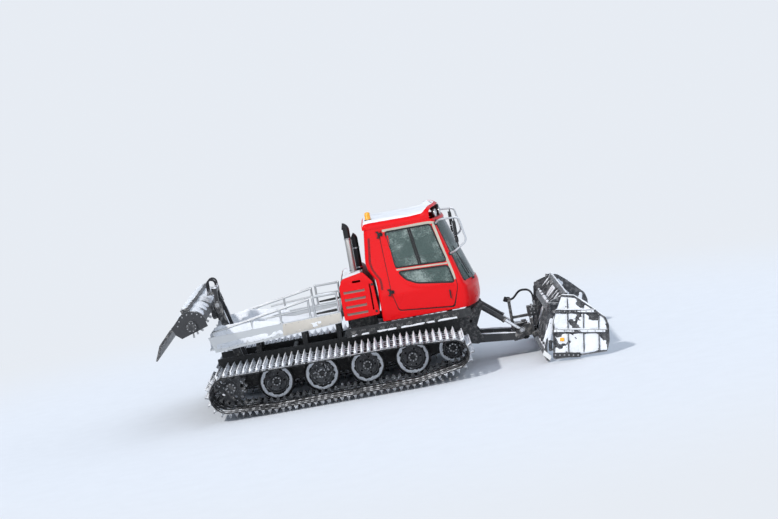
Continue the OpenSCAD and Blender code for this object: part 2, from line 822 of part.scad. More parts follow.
// Bed floor height along the machine
bed_slope = 0.021;
function bed_floor(x) = 1250 - (bed_front_x - x) * 0.052;
function bed_edge(x) = 1375 - (bed_front_x - x) * bed_slope;
notch_x = bed_rear_x + 585;
notch_half = 470;
module bed_deck() {
    color("silver")
        difference() {
            union() {
                // floor
                side_slab([
                    [bed_front_x, bed_floor(bed_front_x)], [bed_rear_x, bed_floor(bed_rear_x)],
                    [bed_rear_x, bed_floor(bed_rear_x) - bed_t], [bed_front_x, bed_floor(bed_front_x) - bed_t]
                ], -bed_half_w, bed_half_w);
                // side plates
                for (s = [-1, 1])
                    side_slab([
                        [bed_front_x, bed_edge(bed_front_x)], [bed_rear_x, bed_edge(bed_rear_x)],
                        [bed_rear_x + 88, bed_floor(bed_rear_x) - 75], [bed_front_x - 27, bed_floor(bed_front_x) - 60]
                    ], s > 0 ? bed_half_w - bed_t : -bed_half_w, s > 0 ? bed_half_w : -bed_half_w + bed_t);
                // cheeks of the rear notch and the front sill
                for (s = [-1, 1])
                    side_slab([
                        [notch_x, bed_edge(notch_x)], [bed_rear_x, bed_edge(bed_rear_x)],
                        [bed_rear_x, bed_floor(bed_rear_x) - bed_t], [notch_x, bed_floor(notch_x) - bed_t]
                    ], s > 0 ? notch_half : -notch_half - bed_t, s > 0 ? notch_half + bed_t : -notch_half);
                block([notch_x, -notch_half - bed_t, bed_floor(notch_x) - bed_t],
                      [notch_x + bed_t, notch_half + bed_t, bed_edge(notch_x)]);
                block([bed_front_x - bed_t, -bed_half_w + 1, bed_floor(bed_front_x) - bed_t - 1],
                      [bed_front_x, bed_half_w - 1, bed_edge(bed_front_x)]);
            }
            // rear notch for the lift arms
            block([bed_rear_x - 10, -notch_half, 900], [notch_x, notch_half, 1500]);
        }
}

// Rail posts: [x, top height]; the long rail falls to the back
rail_front = [-1110, 1672];
rail_rear = [-2784, 1400];
rail_y = bed_half_w - rail_r - 4;
module bed_rails() {
    color("silver")
        for (s = [-1, 1]) {
            union() {
                bar([rail_front[0], s * rail_y, rail_front[1]], [rail_rear[0], s * rail_y, rail_rear[1]], rail_r);
                translate([rail_front[0], s * rail_y, rail_front[1]]) sphere(r = rail_r + 1);
                translate([rail_rear[0], s * rail_y, rail_rear[1]]) sphere(r = rail_r + 1);
                for (f = [0, 0.3, 0.6, 0.86, 1]) {
                    x = rail_front[0] + f * (rail_rear[0] - rail_front[0]);
                    z = rail_front[1] + f * (rail_rear[1] - rail_front[1]);
                    bar([x, s * rail_y, bed_edge(x + rail_r) + touch], [x, s * rail_y, z], rail_r - 3);
                }
                bar([rail_front[0], s * rail_y, 1530], [rail_front[0] + 0.45 * (rail_rear[0] - rail_front[0]), s * rail_y, 1480], rail_r - 6);
            }
            // gate section beside the engine housing
            union() {
                for (x = [-1030, -620])
                    bar([x, s * rail_y, bed_edge(x + rail_r) + touch], [x, s * rail_y, 1700], rail_r - 2);
                bar([-1030, s * rail_y, 1700], [-620, s * rail_y, 1700], rail_r);
                bar([-1030, s * rail_y, 1540], [-620, s * rail_y, 1540], rail_r - 5);
                for (x = [-1030, -620]) translate([x, s * rail_y, 1700]) sphere(r = rail_r + 1);
            }
        }
}

// Guards over the tracks: a shelf and a skirt with slots
guard_z = 905;
guard_x = [-560, 1560];
guard_out = 985;
module track_guards() {
    color("black")
        for (s = [0, 1])
            on_side(s == 1)
                difference() {
                    union() {
                        block([guard_x[0], -guard_out, guard_z], [guard_x[1] - 130, -tub_half_w - touch, guard_z + 14]);
                        side_slab([
                            [guard_x[0], guard_z], [guard_x[1] - 130, guard_z], [guard_x[1] + 40, guard_z + 8],
                            [guard_x[1] + 20, cab_floor_z - 20], [guard_x[0], cab_floor_z - 20]
                        ], -guard_out, -guard_out + 14);
                    }
                    for (i = [0:11])
                        block([guard_x[0] + 60 + i * 160, -guard_out - 1, guard_z + 50],
                              [guard_x[0] + 170 + i * 160, -guard_out + 15, guard_z + 105]);
                }
}

// ---- on the roof ----

beacon_at = [132, -600];
module beacon() {
    color("orange") {
        translate([beacon_at[0], beacon_at[1], cab_top_z + roof_t + 10])
            rotate_extrude()
                polygon([[0, -12], [62, -12], [62, 14], [54, 22], [50, 118], [36, 138], [0, 142]]);
    }
}

// Work lamps on the visor: [y, turn]
lamp_rows = [[-700, 20], [-430, 12], [430, -12], [700, -20]];
module roof_lamps() {
    color("gray")
        for (l = lamp_rows) {
            x = visor_x - (front_r - sqrt(front_r * front_r - l[0] * l[0]));
            translate([x - 12, l[0], cab_top_z + 80])
                rotate([0, 90, -asin(l[0] / front_r) * -1])
                    translate([0, 0, 2])
                        rotate_extrude()
                            polygon([[0, 0], [58, 0], [66, 30], [66, 62], [58, 66], [0, 66]]);
        }
}

// Mirror guard tube corners beside the cab: [x, z], and how far out
guard_pts = [[1300, 2640], [1640, 2620], [1712, 2206], [1452, 2060]];
mirror_y = -1180;
module side_mirror(left) {
    color("black")
        on_side(left)
            union() {
                // tube from the pillar out, round the mirror and back
                a = [1246, -half_w(rear_pane_z) + 8, rear_pane_z];
                b = [1330, mirror_y, cab_top_z - 10];
                c = [1640, mirror_y, cab_top_z - 30];
                d = [1712, mirror_y, 2206];
                e = [1500, mirror_y, 2070];
                f = [1408, -half_w(2040) + 8, 2020];
                for (seg = [[a, b], [b, c], [c, d], [d, e], [e, f]])
                    bar(seg[0], seg[1], 16);
                for (p = [b, c, d, e]) translate(p) sphere(r = 18);
                block([1520, mirror_y - 110, 2210], [1580, mirror_y + 110, 2560]);
                bar([1550, mirror_y, 2550], [1550, mirror_y, cab_top_z - 26], 12);
            }
}
module mirrors() {
    side_mirror(false);
    side_mirror(true);
}

// ---- front tool ----

king_x = 2470;
king_r = 38;
rod_eye = [2400, 452];
cyl_len = norm(rod_eye - cyl_base);
cyl_dir = (rod_eye - cyl_base) / cyl_len;
frame_y = [[240, 290], [440, 490]];
eye_drift = 16;

beam_half = 29;
ear_t = 16;
hub_half = fork_in - 6;
module lift_frame() {
    color("dimgray")
        difference() {
            union() {
                // side beams from the pivot to the head
                for (s = [-1, 1]) {
                    c = s * cyl_y;
                    link([lift_pivot_x, lift_pivot_z], [2360, 350], 70, 60, c - beam_half, c + beam_half);
                    pin_y([lift_pivot_x, lift_pivot_z], 52, c - hub_half, c + hub_half);
                    // ears for the cylinder's rod, and its pin
                    for (e = [-1, 1])
                        link([2330, 380], rod_eye, 60, 44,
                             c + e * (beam_half + ear_t / 2 - 1) - ear_t / 2,
                             c + e * (beam_half + ear_t / 2 - 1) + ear_t / 2);
                    pin_y(rod_eye, pin_r, c - beam_half - ear_t + 1, c + beam_half + ear_t - 1);
                }
                // cross box and the head's two plates
                block([2240, -cyl_y, 300], [2330, cyl_y, 400]);
                for (z = [[262, 296], [504, 538]])
                    translate([0, 0, z[0]])
                        linear_extrude(z[1] - z[0])
                            polygon([[2250, -230], [2400, -150], [king_x, -75], [king_x + 45, -60],
                                     [king_x + 60, 0], [king_x + 45, 60], [king_x, 75],
                                     [2400, 150], [2250, 230]]);
                block([2250, -230, 262], [2310, 230, 538]);
                translate([king_x, 0, 240]) cylinder(r = king_r, h = 320);
                // hose mast
                block([2250, -60, 500], [2300, 60, 930]);
            }
            for (s = [-1, 1])
                pin_y([lift_pivot_x, lift_pivot_z], pin_r + 8.06,
                      s > 0 ? fork_y[0] : -fork_y[1], s > 0 ? fork_y[1] : -fork_y[0]);
            // slot for the rod's eye between its ears
            for (s = [-1, 1])
                difference() {
                    block([2336, s * cyl_y - beam_half + 0.5, 392], [2470, s * cyl_y + beam_half - 0.5, 520]);
                    pin_y(rod_eye, pin_r, s * cyl_y - 60, s * cyl_y + 60);
                }
        }
}

barrel_r = 46;
rod_r = 24;
barrel_l = 505;
function on_cyl(t) = [cyl_base[0] + cyl_dir[0] * t, cyl_base[1] + cyl_dir[1] * t];
function in3(p, y) = [p[0], y, p[1]];
module lift_barrels() {
    color("black")
        for (s = [-1, 1])
            difference() {
                union() {
                    pin_y(cyl_base, 40, s * cyl_y - 24, s * cyl_y + 24);
                    bar(in3(on_cyl(20), s * cyl_y), in3(on_cyl(barrel_l), s * cyl_y), barrel_r);
                    bar(in3(on_cyl(barrel_l - 40), s * cyl_y), in3(on_cyl(barrel_l), s * cyl_y), barrel_r + 6);
                }
                pin_y(cyl_base, pin_r + 0.06, s * cyl_y - 60, s * cyl_y + 60);
                bar(in3(on_cyl(70), s * cyl_y), in3(on_cyl(barrel_l + 5), s * cyl_y), rod_r + 0.06);
            }
}
module lift_rods() {
    color("silver")
        for (s = [-1, 1])
            difference() {
                union() {
                    bar(in3(on_cyl(330), s * cyl_y), in3(on_cyl(cyl_len - 30), s * cyl_y), rod_r);
                    pin_y(rod_eye, pin_r + eye_drift + 14, s * cyl_y - 12, s * cyl_y + 12);
                }
                pin_y(rod_eye, pin_r + eye_drift, s * cyl_y - 60, s * cyl_y + 60);
            }
}

roll_z = 400;
roll_r = 45;
module swing_head() {
    color("dimgray")
        difference() {
            union() {
                block([king_x - 70, -80, 297], [king_x + 100, 80, 503]);
                translate([king_x + 90, 0, roll_z]) rotate([0, 90, 0]) cylinder(r = 110, h = 22);
                translate([king_x + 90, 0, roll_z]) rotate([0, 90, 0]) cylinder(r = roll_r, h = 84);
            }
            translate([king_x, 0, 290]) cylinder(r = king_r + 0.06, h = 230);
        }
}

pitch_at = [2668, 330];
tilt_x = king_x + 113;
lug_y = [[210, 236], [290, 316]];
module tilt_plate() {
    color("dimgray")
        difference() {
            union() {
                front_slab([[-300, 270], [300, 270], [300, 420], [180, 600], [-180, 600], [-300, 420]],
                           tilt_x, tilt_x + 40);
                for (s = [-1, 1])
                    for (y = lug_y)
                        link([tilt_x + 30, 330], pitch_at, 45, 42, s > 0 ? y[0] : -y[1], s > 0 ? y[1] : -y[0]);
                for (s = [-1, 1])
                    pin_y(pitch_at, pin_r, s > 0 ? 210 : -316, s > 0 ? 316 : -210);
            }
            translate([tilt_x - 5, 0, roll_z]) rotate([0, 90, 0]) cylinder(r = roll_r + 0.06, h = 60);
        }
}

// The blade's curved plate, in a side view: chord from the edge to the top
blade_foot = [blade_x + 112, blade_z];
blade_up = [sin(blade_lean), cos(blade_lean)];
blade_fwd = [cos(blade_lean), -sin(blade_lean)];
blade_plate_t = 14;
function on_blade(u, v) = blade_foot + blade_fwd * u + blade_up * v;
blade_sag = blade_r - sqrt(blade_r * blade_r - blade_h * blade_h / 4);
blade_centre = on_blade(blade_r - blade_sag, blade_h / 2);
// Distance behind the chord of the plate's front face at height v
function curve_u(v) = (blade_r - blade_sag) - sqrt(blade_r * blade_r - pow(v - blade_h / 2, 2));
module blade_section() {
    intersection() {
        difference() {
            translate(blade_centre) circle(r = blade_r + blade_plate_t, $fn = 120);
            translate(blade_centre) circle(r = blade_r, $fn = 120);
        }
        polygon([on_blade(-400, 6), on_blade(60, 6), on_blade(60, blade_h - 6), on_blade(-400, blade_h - 6)]);
    }
}
// Stiffeners behind the plate: [y]
blade_ribs = [-1700, -1270, -840, -420, 420, 840, 1270, 1700];
// Box beams behind the plate: [height along the blade, half height, depth behind the chord]
blade_beams = [[170, 45, 150], [760, 55, 190]];
blade_back = -190;
wing_axis_u = -70;
module blade() {
    color("dimgray")
        difference() {
            union() {
                translate([0, blade_w / 2, 0]) rotate([90, 0, 0]) linear_extrude(blade_w) blade_section();
                // cutting edge and top bar
                side_slab([on_blade(-30, 0), on_blade(16, 0), on_blade(-6, 120), on_blade(-44, 120)],
                          -blade_w / 2, blade_w / 2);
                side_slab([on_blade(-46, blade_h - 60), on_blade(-8, blade_h - 60), on_blade(12, blade_h),
                           on_blade(-30, blade_h)], -blade_w / 2, blade_w / 2);
                for (b = blade_beams)
                    side_slab([on_blade(-b[2], b[0] - b[1]), on_blade(curve_u(b[0] - b[1]) - 6, b[0] - b[1]),
                               on_blade(curve_u(b[0] + b[1]) - 6, b[0] + b[1]), on_blade(-b[2], b[0] + b[1])],
                              -blade_w / 2 + 54, blade_w / 2 - 54);
                for (y = blade_ribs)
                    side_slab(concat([on_blade(-120, 90), on_blade(blade_back, 300),
                                      on_blade(blade_back, 800), on_blade(-60, 1050)],
                                     [for (v = [1050, 950, 850, 700, 550, 400, 250, 150, 70]) on_blade(curve_u(v) - 7, v)]),
                              y - 9, y + 9);
                // lugs for the pitch pins
                for (s = [-1, 1])
                    link(pitch_at, on_blade(-120, 330), 42, 60, s > 0 ? 241 : -285, s > 0 ? 285 : -241);
            }
            for (s = [-1, 1])
                pin_y(pitch_at, pin_r + 0.06, s > 0 ? 200 : -340, s > 0 ? 340 : -200);
            // room for the wings' knuckles
            for (s = [0, 1])
                on_side(s == 1)
                    for (v = hinge_v) wing_pin(v[0] - hinge_h - 50, v[0] + hinge_h + 50, 36);
        }
    color("dimgray")
        for (s = [0, 1])
            on_side(s == 1)
                for (v = hinge_v)
                    difference() {
                        union() {
                            wing_pin(v[0] - hinge_h, v[0] + hinge_h, 30);
                            // strap from the knuckle to the blade's end
                            translate([0, -blade_w / 2 + 30, 0])
                                rotate([90, 0, 0])
                                    linear_extrude(28)
                                        polygon([on_blade(wing_axis_u - 25, v[0] - hinge_h + 4), on_blade(wing_axis_u + 20, v[0] - hinge_h + 4),
                                                 on_blade(wing_axis_u + 20, v[0] + hinge_h - 4), on_blade(wing_axis_u - 25, v[0] + hinge_h - 4)]);
                        }
                        wing_pin(v[0] - hinge_h - 5, v[0] + hinge_h + 5, 14.06);
                    }
}
// Wing hinge knuckles on the blade: [height along the blade]
hinge_v = [[250], [880]];
hinge_h = 45;
hinge_gap_y = 40;
wing_y = -blade_w / 2 - hinge_gap_y + 24;
// A round bar on the right wing's hinge axis
module wing_pin(v0, v1, r) {
    a = on_blade(wing_axis_u, v0);
    b = on_blade(wing_axis_u, v1);
    bar([a[0], wing_y, a[1]], [b[0], wing_y, b[1]], r);
}

// Wing outline, unfolded: [reach from the hinge, height along the blade]
function wing_pts(l) = [
    [0, 12], [0, blade_h], [l * 0.715, blade_h * 0.905], [l * 0.865, blade_h * 0.80],
    [l, blade_h * 0.30], [l * 0.922, 160]
];
wing_t = 18;
wing_rib = 38;
// Wing ribs across: [height along the blade, depth, share of the reach]
wing_bands = [[250, 60, 0.92], [720, 60, 0.82]];
module wing_plate() {
    // local frame: x is reach, y is height, z is to the back
    union() {
        linear_extrude(wing_t) polygon([for (p = wing_pts(wing_l)) [max(p[0], 46), p[1]]]);
        for (b = wing_bands)
            translate([46, b[0], wing_t - 1]) cube([wing_l * b[2] - 46, b[1], wing_rib]);
        for (x = [46, wing_l * 0.42, wing_l * 0.78])
            translate([x, 170, wing_t - 1]) cube([14, blade_h * 0.68, wing_rib]);
        for (v = hinge_v)
            for (e = [-1, 1])
                translate([0, v[0] + (e > 0 ? hinge_h + 6 : -hinge_h - 40), -14]) cube([60, 34, 31]);
    }
}
module wing_place() {
    // from the local frame to the hinge: reach goes out to the right, then folds forward
    a = on_blade(wing_axis_u, 0);
    translate([a[0], wing_y, a[1]])
        rotate([0, blade_lean, 0])
            rotate([0, 0, wing_fold])
                rotate([90, 0, -90])
                    children();
}
module wing(left) {
    color("dimgray")
        on_side(left)
            union() {
                wing_place() wing_plate();
                for (v = hinge_v)
                    for (e = [-1, 1])
                        wing_pin(v[0] + (e > 0 ? hinge_h + 3 : -hinge_h - 43),
                                 v[0] + (e > 0 ? hinge_h + 43 : -hinge_h - 3), 30);
                for (v = hinge_v) wing_pin(v[0] - hinge_h - 30, v[0] + hinge_h + 30, 14);
            }
}
module wing_right() { wing(false); }
module wing_left() { wing(true); }

// Hoses from the mast to the head: [y]
front_hose_y = [-42, -14, 14, 42];
hose_r = 11;
module front_hoses() {
    color("black")
        union() {
            block([2250, -70, 930 + touch], [2310, 70, 990]);
            for (y = front_hose_y) {
                bar([2295, y, 975], [2295, y, 1050], hose_r);
                translate([2380, y, 1050])
                    rotate([90, 0, 0])
                        rotate_extrude(angle = 180) translate([85, 0]) circle(r = hose_r, $fn = 16);
                bar([2465, y, 700], [2465, y, 1050], hose_r);
            }
            block([2420, -70, 600], [2510, 70, 705]);
            block([2300 + touch, -30, 610], [2425, 30, 650]);
        }
}

// ---- rear tool ----

arm_in = 330;
arm_out = 400;
lug_r = 132;
lug_angle = 219;
rear_base = [arm_pivot_x + 418, arm_pivot_z + 24];
arm_pivot = [arm_pivot_x, arm_pivot_z];
lug_at = arm_pivot + lug_r * [cos(lug_angle), sin(lug_angle)];
arm_top = [arm_pivot_x - 280, arm_pivot_z + 1240];
rear_len = norm(lug_at - rear_base);
rear_dir = (lug_at - rear_base) / rear_len;
function on_rear(t) = rear_base + rear_dir * t;
rear_eye_drift = 32;
module rear_arms() {
    color("dimgray")
        difference() {
            union() {
                for (s = [-1, 1]) {
                    link(arm_pivot, arm_top, 75, 55, s > 0 ? arm_in : -arm_out, s > 0 ? arm_out : -arm_in);
                    link(arm_pivot, lug_at, 60, 45, s > 0 ? arm_in : -arm_in - 30, s > 0 ? arm_in + 30 : -arm_in);
                }
                // cross tubes between the arms
                pin_y(turned([arm_pivot_x, 1180], arm_pivot, 13), 48, -arm_in - 1, arm_in + 1);
                // lug plates for the rod and the tube that carries them
                pin_y(lug_at, pin_r, -arm_in - 1, arm_in + 1);
            }
            pin_y(arm_pivot, pin_r + 10.06, -tub_half_w, tub_half_w);
            for (s = [-1, 1])
                pin_y(arm_top, pin_r + 0.06, s > 0 ? arm_in - 5 : -arm_out - 5, s > 0 ? arm_out + 5 : -arm_in + 5);
        }
}
module rear_barrel() {
    color("black")
        difference() {
            union() {
                pin_y(rear_base, 40, -36, 36);
                bar(in3(on_rear(15), 0), in3(on_rear(290), 0), 42);
            }
            pin_y(rear_base, pin_r + 0.06, -60, 60);
            bar(in3(on_rear(60), 0), in3(on_rear(310), 0), 22.06);
        }
}
module rear_rod() {
    color("silver")
        difference() {
            union() {
                bar(in3(on_rear(250), 0), in3(on_rear(rear_len - 50), 0), 22);
                pin_y(lug_at, pin_r + rear_eye_drift + 14, -20, 20);
            }
            pin_y(lug_at, pin_r + rear_eye_drift, -60, 60);
        }
}

// Points of the tiller: its own frame is level, from the rotor's axis
function on_tiller(u, v) = turned([rotor_x + u, rotor_z + v], [rotor_x, rotor_z], -tiller_tip * -1);
mast_x = [arm_top[0] - 32, arm_top[0] + 30];
mast_foot = arm_top[1] - 270;
mast_top = arm_top[1] + 280;
tiller_pin = [arm_top[0] - 84, arm_top[1] - 200];
shelf_z = mast_top - 90;
module tiller_frame() {
    color("dimgray")
        union() {
            for (s = [-1, 1]) {
                block([mast_x[0], s > 0 ? 250 : -318, mast_foot], [mast_x[1], s > 0 ? 318 : -250, mast_top]);
                pin_y(arm_top, 60, s > 0 ? 250 : -324, s > 0 ? 324 : -250);
                pin_y(arm_top, pin_r, s > 0 ? 250 : -410, s > 0 ? 410 : -250);
                link(tiller_pin, [arm_top[0] - 10, arm_top[1] - 180], 40, 50, s > 0 ? 250 : -280, s > 0 ? 280 : -250);
                pin_y(tiller_pin, pin_r, s > 0 ? 250 : -330, s > 0 ? 330 : -250);
            }
            for (z = [mast_foot, mast_top - 70])
                block([mast_x[0], -251, z], [mast_x[1], 251, z + 70]);
            // shelf for the hoses' ends
            block([mast_x[0] - 128, -230, shelf_z - 18], [mast_x[0] + 1, 230, shelf_z]);
            block([mast_x[0] - 40, -230, shelf_z - 18], [mast_x[0] + 1, 230, mast_top]);
        }
}

// Housing over the rotor, in the tiller's own frame
shell_r = 258;
shell_t = 12;
module tiller_housing() {
    color("dimgray")
        difference() {
            union() {
                translate([rotor_x, 0, rotor_z])
                    rotate([0, -tiller_tip, 0]) {
                        // arched cover
                        rotate([90, 0, 0])
                            translate([0, 0, -tiller_half_w])
                                linear_extrude(2 * tiller_half_w)
                                    difference() {
                                        union() {
                                            circle(r = shell_r, $fn = 64);
                                            polygon([[-60, shell_r - 6], [-shell_r - 60, 120], [-shell_r - 60, 60], [-100, 60]]);
                                        }
                                        circle(r = shell_r - shell_t, $fn = 64);
                                        polygon([[-700, -700], [700, -700], [700, -40], [0, 0], [-700, 30]]);
                                    }
                        // end plates
                        for (s = [-1, 1])
                            side_slab([[-shell_r - 40, 100], [-180, 190], [-60, shell_r - 2], [60, shell_r - 2], [190, 170],
                                       [shell_r - 4, 40], [shell_r - 10, -110], [-230, -110], [-300, 0]],
                                      s > 0 ? tiller_half_w : -tiller_half_w - 14, s > 0 ? tiller_half_w + 14 : -tiller_half_w);
                        // box beam along the top
                        block([-50, -tiller_half_w, shell_r - 8], [90, tiller_half_w, shell_r + 62]);
                        // finisher comb: plate and fingers
                        side_slab([[-shell_r - 55, 110], [-shell_r - 55, 70], [-590, -60], [-768, -256],
                                   [-790, -242], [-620, -40], [-shell_r - 90, 110]],
                                  -tiller_half_w, tiller_half_w);
                        // motors at the ends
                        for (s = [-1, 1])
                            pin_y([0, 0], 92, s > 0 ? tiller_half_w - 6 : -tiller_half_w - 60,
                                  s > 0 ? tiller_half_w + 60 : -tiller_half_w + 6);
                    }
                // lugs on the front
                for (s = [-1, 1])
                    link(tiller_pin, on_tiller(222, 40), 40, 40, s > 0 ? 284 : -324, s > 0 ? 324 : -284);
            }
            for (s = [-1, 1])
                pin_y(tiller_pin, pin_r + 0.06, s > 0 ? 240 : -340, s > 0 ? 340 : -240);
            translate([rotor_x, 0, rotor_z])
                for (s = [-1, 1])
                    pin_y([0, 0], 30.06, s > 0 ? tiller_half_w - 30 : -tiller_half_w - 50,
                          s > 0 ? tiller_half_w + 50 : -tiller_half_w + 30);
            // rotor room
            translate([rotor_x, 0, rotor_z])
                pin_y([0, 0], rotor_r + 12, -tiller_half_w + 1, tiller_half_w - 1);
        }
}

// Rotor: drum, shaft and rows of teeth
drum_r = 110;
tooth_step = 150;
tooth_rows = floor((2 * tiller_half_w - 120) / tooth_step);
module tiller_rotor() {
    color("gray")
        translate([rotor_x, 0, rotor_z])
            union() {
                pin_y([0, 0], drum_r, -tiller_half_w + 20, tiller_half_w - 20);
                pin_y([0, 0], 30, -tiller_half_w - 44, tiller_half_w + 44);
                for (i = [0:tooth_rows])
                    for (k = [0:rotor_teeth / 2 - 1])
                        translate([0, (i - tooth_rows / 2) * tooth_step, 0])
                            rotate([0, k * 360 / rotor_teeth * 2 + i * 37, 0])
                                block([-14, -8, -rotor_r], [14, 8, -drum_r + 6]);
            }
}

rear_hose_y = [-190, -130, 130, 190];
rear_hose_r = 14;
rear_arch = [arm_top[0] - 135, arm_top[0] + 15];
rear_arch_z = mast_top + 70;
module rear_hoses() {
    mid = (rear_arch[0] + rear_arch[1]) / 2;
    color("black")
        for (y = rear_hose_y)
            union() {
                bar([rear_arch[1], y, mast_top + touch], [rear_arch[1], y, rear_arch_z], rear_hose_r);
                bar([rear_arch[0], y, shelf_z + touch], [rear_arch[0], y, rear_arch_z], rear_hose_r);
                translate([mid, y, rear_arch_z])
                    rotate([90, 0, 0])
                        rotate_extrude(angle = 180) translate([rear_arch[1] - mid, 0]) circle(r = rear_hose_r, $fn = 20);
            }
}

chassis_frame();
engine_block();
swing_arms();
tyres();
wheel_discs();
sprockets();
track_right();
track_left();
cab_shell();
cab_roof();
windscreen();
rear_window();
cab_console();
seats();
steering_wheel();
door_right();
door_left();
door_glass_right();
door_glass_left();
engine_housing();
side_cover_right();
side_cover_left();
exhaust_pipes();
bed_deck();
bed_rails();
track_guards();
beacon();
roof_lamps();
mirrors();
lift_frame();
lift_barrels();
lift_rods();
swing_head();
tilt_plate();
blade();
wing_right();
wing_left();
front_hoses();
rear_arms();
rear_barrel();
rear_rod();
tiller_frame();
tiller_housing();
tiller_rotor();
rear_hoses();
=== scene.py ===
"""Looks for a tracked snow groomer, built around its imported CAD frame.

Lengths are metres in the CAD frame: +X forward, +Y the machine's left, +Z up.
"""

import logging
import math
from dataclasses import dataclass, field
from enum import Enum
from typing import Optional, Sequence

import bpy
import numpy as np
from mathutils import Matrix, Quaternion, Vector


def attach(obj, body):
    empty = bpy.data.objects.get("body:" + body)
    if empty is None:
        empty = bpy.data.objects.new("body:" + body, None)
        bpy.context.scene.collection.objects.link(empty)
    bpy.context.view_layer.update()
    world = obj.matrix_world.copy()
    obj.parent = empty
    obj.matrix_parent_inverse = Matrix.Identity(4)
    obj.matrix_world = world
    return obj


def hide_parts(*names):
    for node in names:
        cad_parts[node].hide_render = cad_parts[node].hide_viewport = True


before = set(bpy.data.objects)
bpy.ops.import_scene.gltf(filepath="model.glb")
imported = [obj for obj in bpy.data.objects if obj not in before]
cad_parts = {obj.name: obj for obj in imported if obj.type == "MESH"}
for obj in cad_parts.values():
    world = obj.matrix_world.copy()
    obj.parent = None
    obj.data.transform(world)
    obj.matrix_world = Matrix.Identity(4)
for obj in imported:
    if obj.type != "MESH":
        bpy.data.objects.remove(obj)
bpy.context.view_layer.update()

LOG = logging.getLogger("groomer")
Array = np.ndarray
SIDES = ("right", "left")
CORE = 0.001  # what a drum's profile keeps clear of its axis, so that no edge has zero length


# ---------------------------------------------------------------- shapes


@dataclass
class Shape:
    """A mesh as arrays: points (n, 3), and faces grouped by their number of corners."""

    points: Array
    faces: list = field(default_factory=list)

    def mirrored(self) -> "Shape":
        """The same shape on the other side of the middle plane, facing outwards."""
        return Shape(self.points * [1, -1, 1], [f[:, ::-1] for f in self.faces])

    def on(self, side: str) -> "Shape":
        """A shape that was made for the right side, on the side asked for."""
        return self if side == "right" else self.mirrored()

    def moved(self, offset: Sequence[float]) -> "Shape":
        """The shape moved by an offset."""
        return Shape(self.points + np.asarray(offset, float), self.faces)

    def turned(self, matrix: Array) -> "Shape":
        """The shape with every point multiplied by a 3 by 3 matrix."""
        return Shape(self.points @ np.asarray(matrix, float).T, self.faces)


def join(shapes: Sequence[Shape]) -> Shape:
    """Puts shapes together in one.

    Args:
        shapes: the shapes to join.
    Returns:
        One shape with all their points and faces.
    """
    starts = np.cumsum([0] + [len(s.points) for s in shapes])
    faces = [f + starts[i] for i, s in enumerate(shapes) for f in s.faces]
    return Shape(np.concatenate([s.points for s in shapes]), faces)


def both(shape: Shape) -> Shape:
    """A right-hand shape together with its mirror image."""
    return join([shape, shape.mirrored()])


def grid(points: Array, wrap_u: bool = False, caps: bool = True) -> Shape:
    """A surface through a grid of points, whose last column joins the first.

    Args:
        points: (u, v, 3) places.
        wrap_u: joins the last row to the first.
        caps: closes both ends along u with one face each, where u is open.
    Returns:
        The surface, one quad for each cell of the grid.
    """
    nu, nv = points.shape[:2]
    index = np.arange(nu * nv).reshape(nu, nv)
    a = index if wrap_u else index[:-1]
    b = np.roll(index, -1, 0) if wrap_u else index[1:]
    faces = [np.stack([a, b, np.roll(b, -1, 1), np.roll(a, -1, 1)], -1).reshape(-1, 4)]
    if caps and not wrap_u:
        faces += [index[:1], index[-1:, ::-1]]
    return Shape(points.reshape(-1, 3), faces)


def facing_out(shape: Shape) -> Shape:
    """The shape turned inside out if its signed volume is negative.

    The volume is a sixth of the sum, over the faces' fans, of a . (b x c).
    """
    total = 0.0
    for f in shape.faces:
        a = shape.points[f[:, 0]][:, None]
        b, c = shape.points[f[:, 1:-1]], shape.points[f[:, 2:]]
        total += float(np.sum(a * np.cross(b, c)))
    return shape if total >= 0 else Shape(shape.points, [f[:, ::-1] for f in shape.faces])


def unit(v: Array) -> Array:
    """Vectors scaled to length 1 along the last axis."""
    return v / np.maximum(np.linalg.norm(v, axis=-1, keepdims=True), 1e-12)


def xyz(x: Array, y: Array, z: Array) -> Array:
    """Places from their coordinates, which are spread to one shape."""
    return np.stack(np.broadcast_arrays(*(np.asarray(k, float) for k in (x, y, z))), -1)


def between(a: Sequence[float], b: Sequence[float], t: Array) -> Array:
    """(n, 3) places on the straight line from a to b, at shares t of it."""
    t = np.asarray(t, float)[:, None]
    return np.asarray(a, float) * (1 - t) + np.asarray(b, float) * t


def stacked(levels: Sequence[tuple]) -> Shape:
    """A closed solid through flat outlines, from rows of (outline, height)."""
    return facing_out(grid(np.stack([np.c_[line, np.full(len(line), z)] for line, z in levels])))


def sweep(path: Array, section: Array, up: Sequence[float] = (0, 1, 0), wrap: bool = False,
          scale: Optional[Array] = None) -> Shape:
    """A section carried along a path.

    Point (i, j) is path i, plus section j's first number along the side vector
    (tangent x up) and its second along tangent x side.

    Args:
        path: (n, 3) places.
        section: (m, 2) outline of the section.
        up: a direction that the path never follows.
        wrap: joins the path's end to its start.
        scale: (n,) factors on the section, or None.
    Returns:
        The closed surface.
    """
    path = np.asarray(path, float)
    t = (np.roll(path, -1, 0) - np.roll(path, 1, 0)) if wrap else np.gradient(path, axis=0)
    t = unit(t)
    side = unit(np.cross(t, np.asarray(up, float)))
    over = np.cross(side, t)
    k = np.ones(len(path)) if scale is None else scale
    sec = np.asarray(section, float)[None] * k[:, None, None]
    pts = path[:, None] + sec[..., :1] * side[:, None] + sec[..., 1:] * over[:, None]
    return facing_out(grid(pts, wrap_u=wrap))


def circle(radius: float, n: int = 12) -> Array:
    """A round section with n corners."""
    a = np.linspace(0, 2 * np.pi, n, endpoint=False)
    return np.stack([radius * np.cos(a), radius * np.sin(a)], -1)


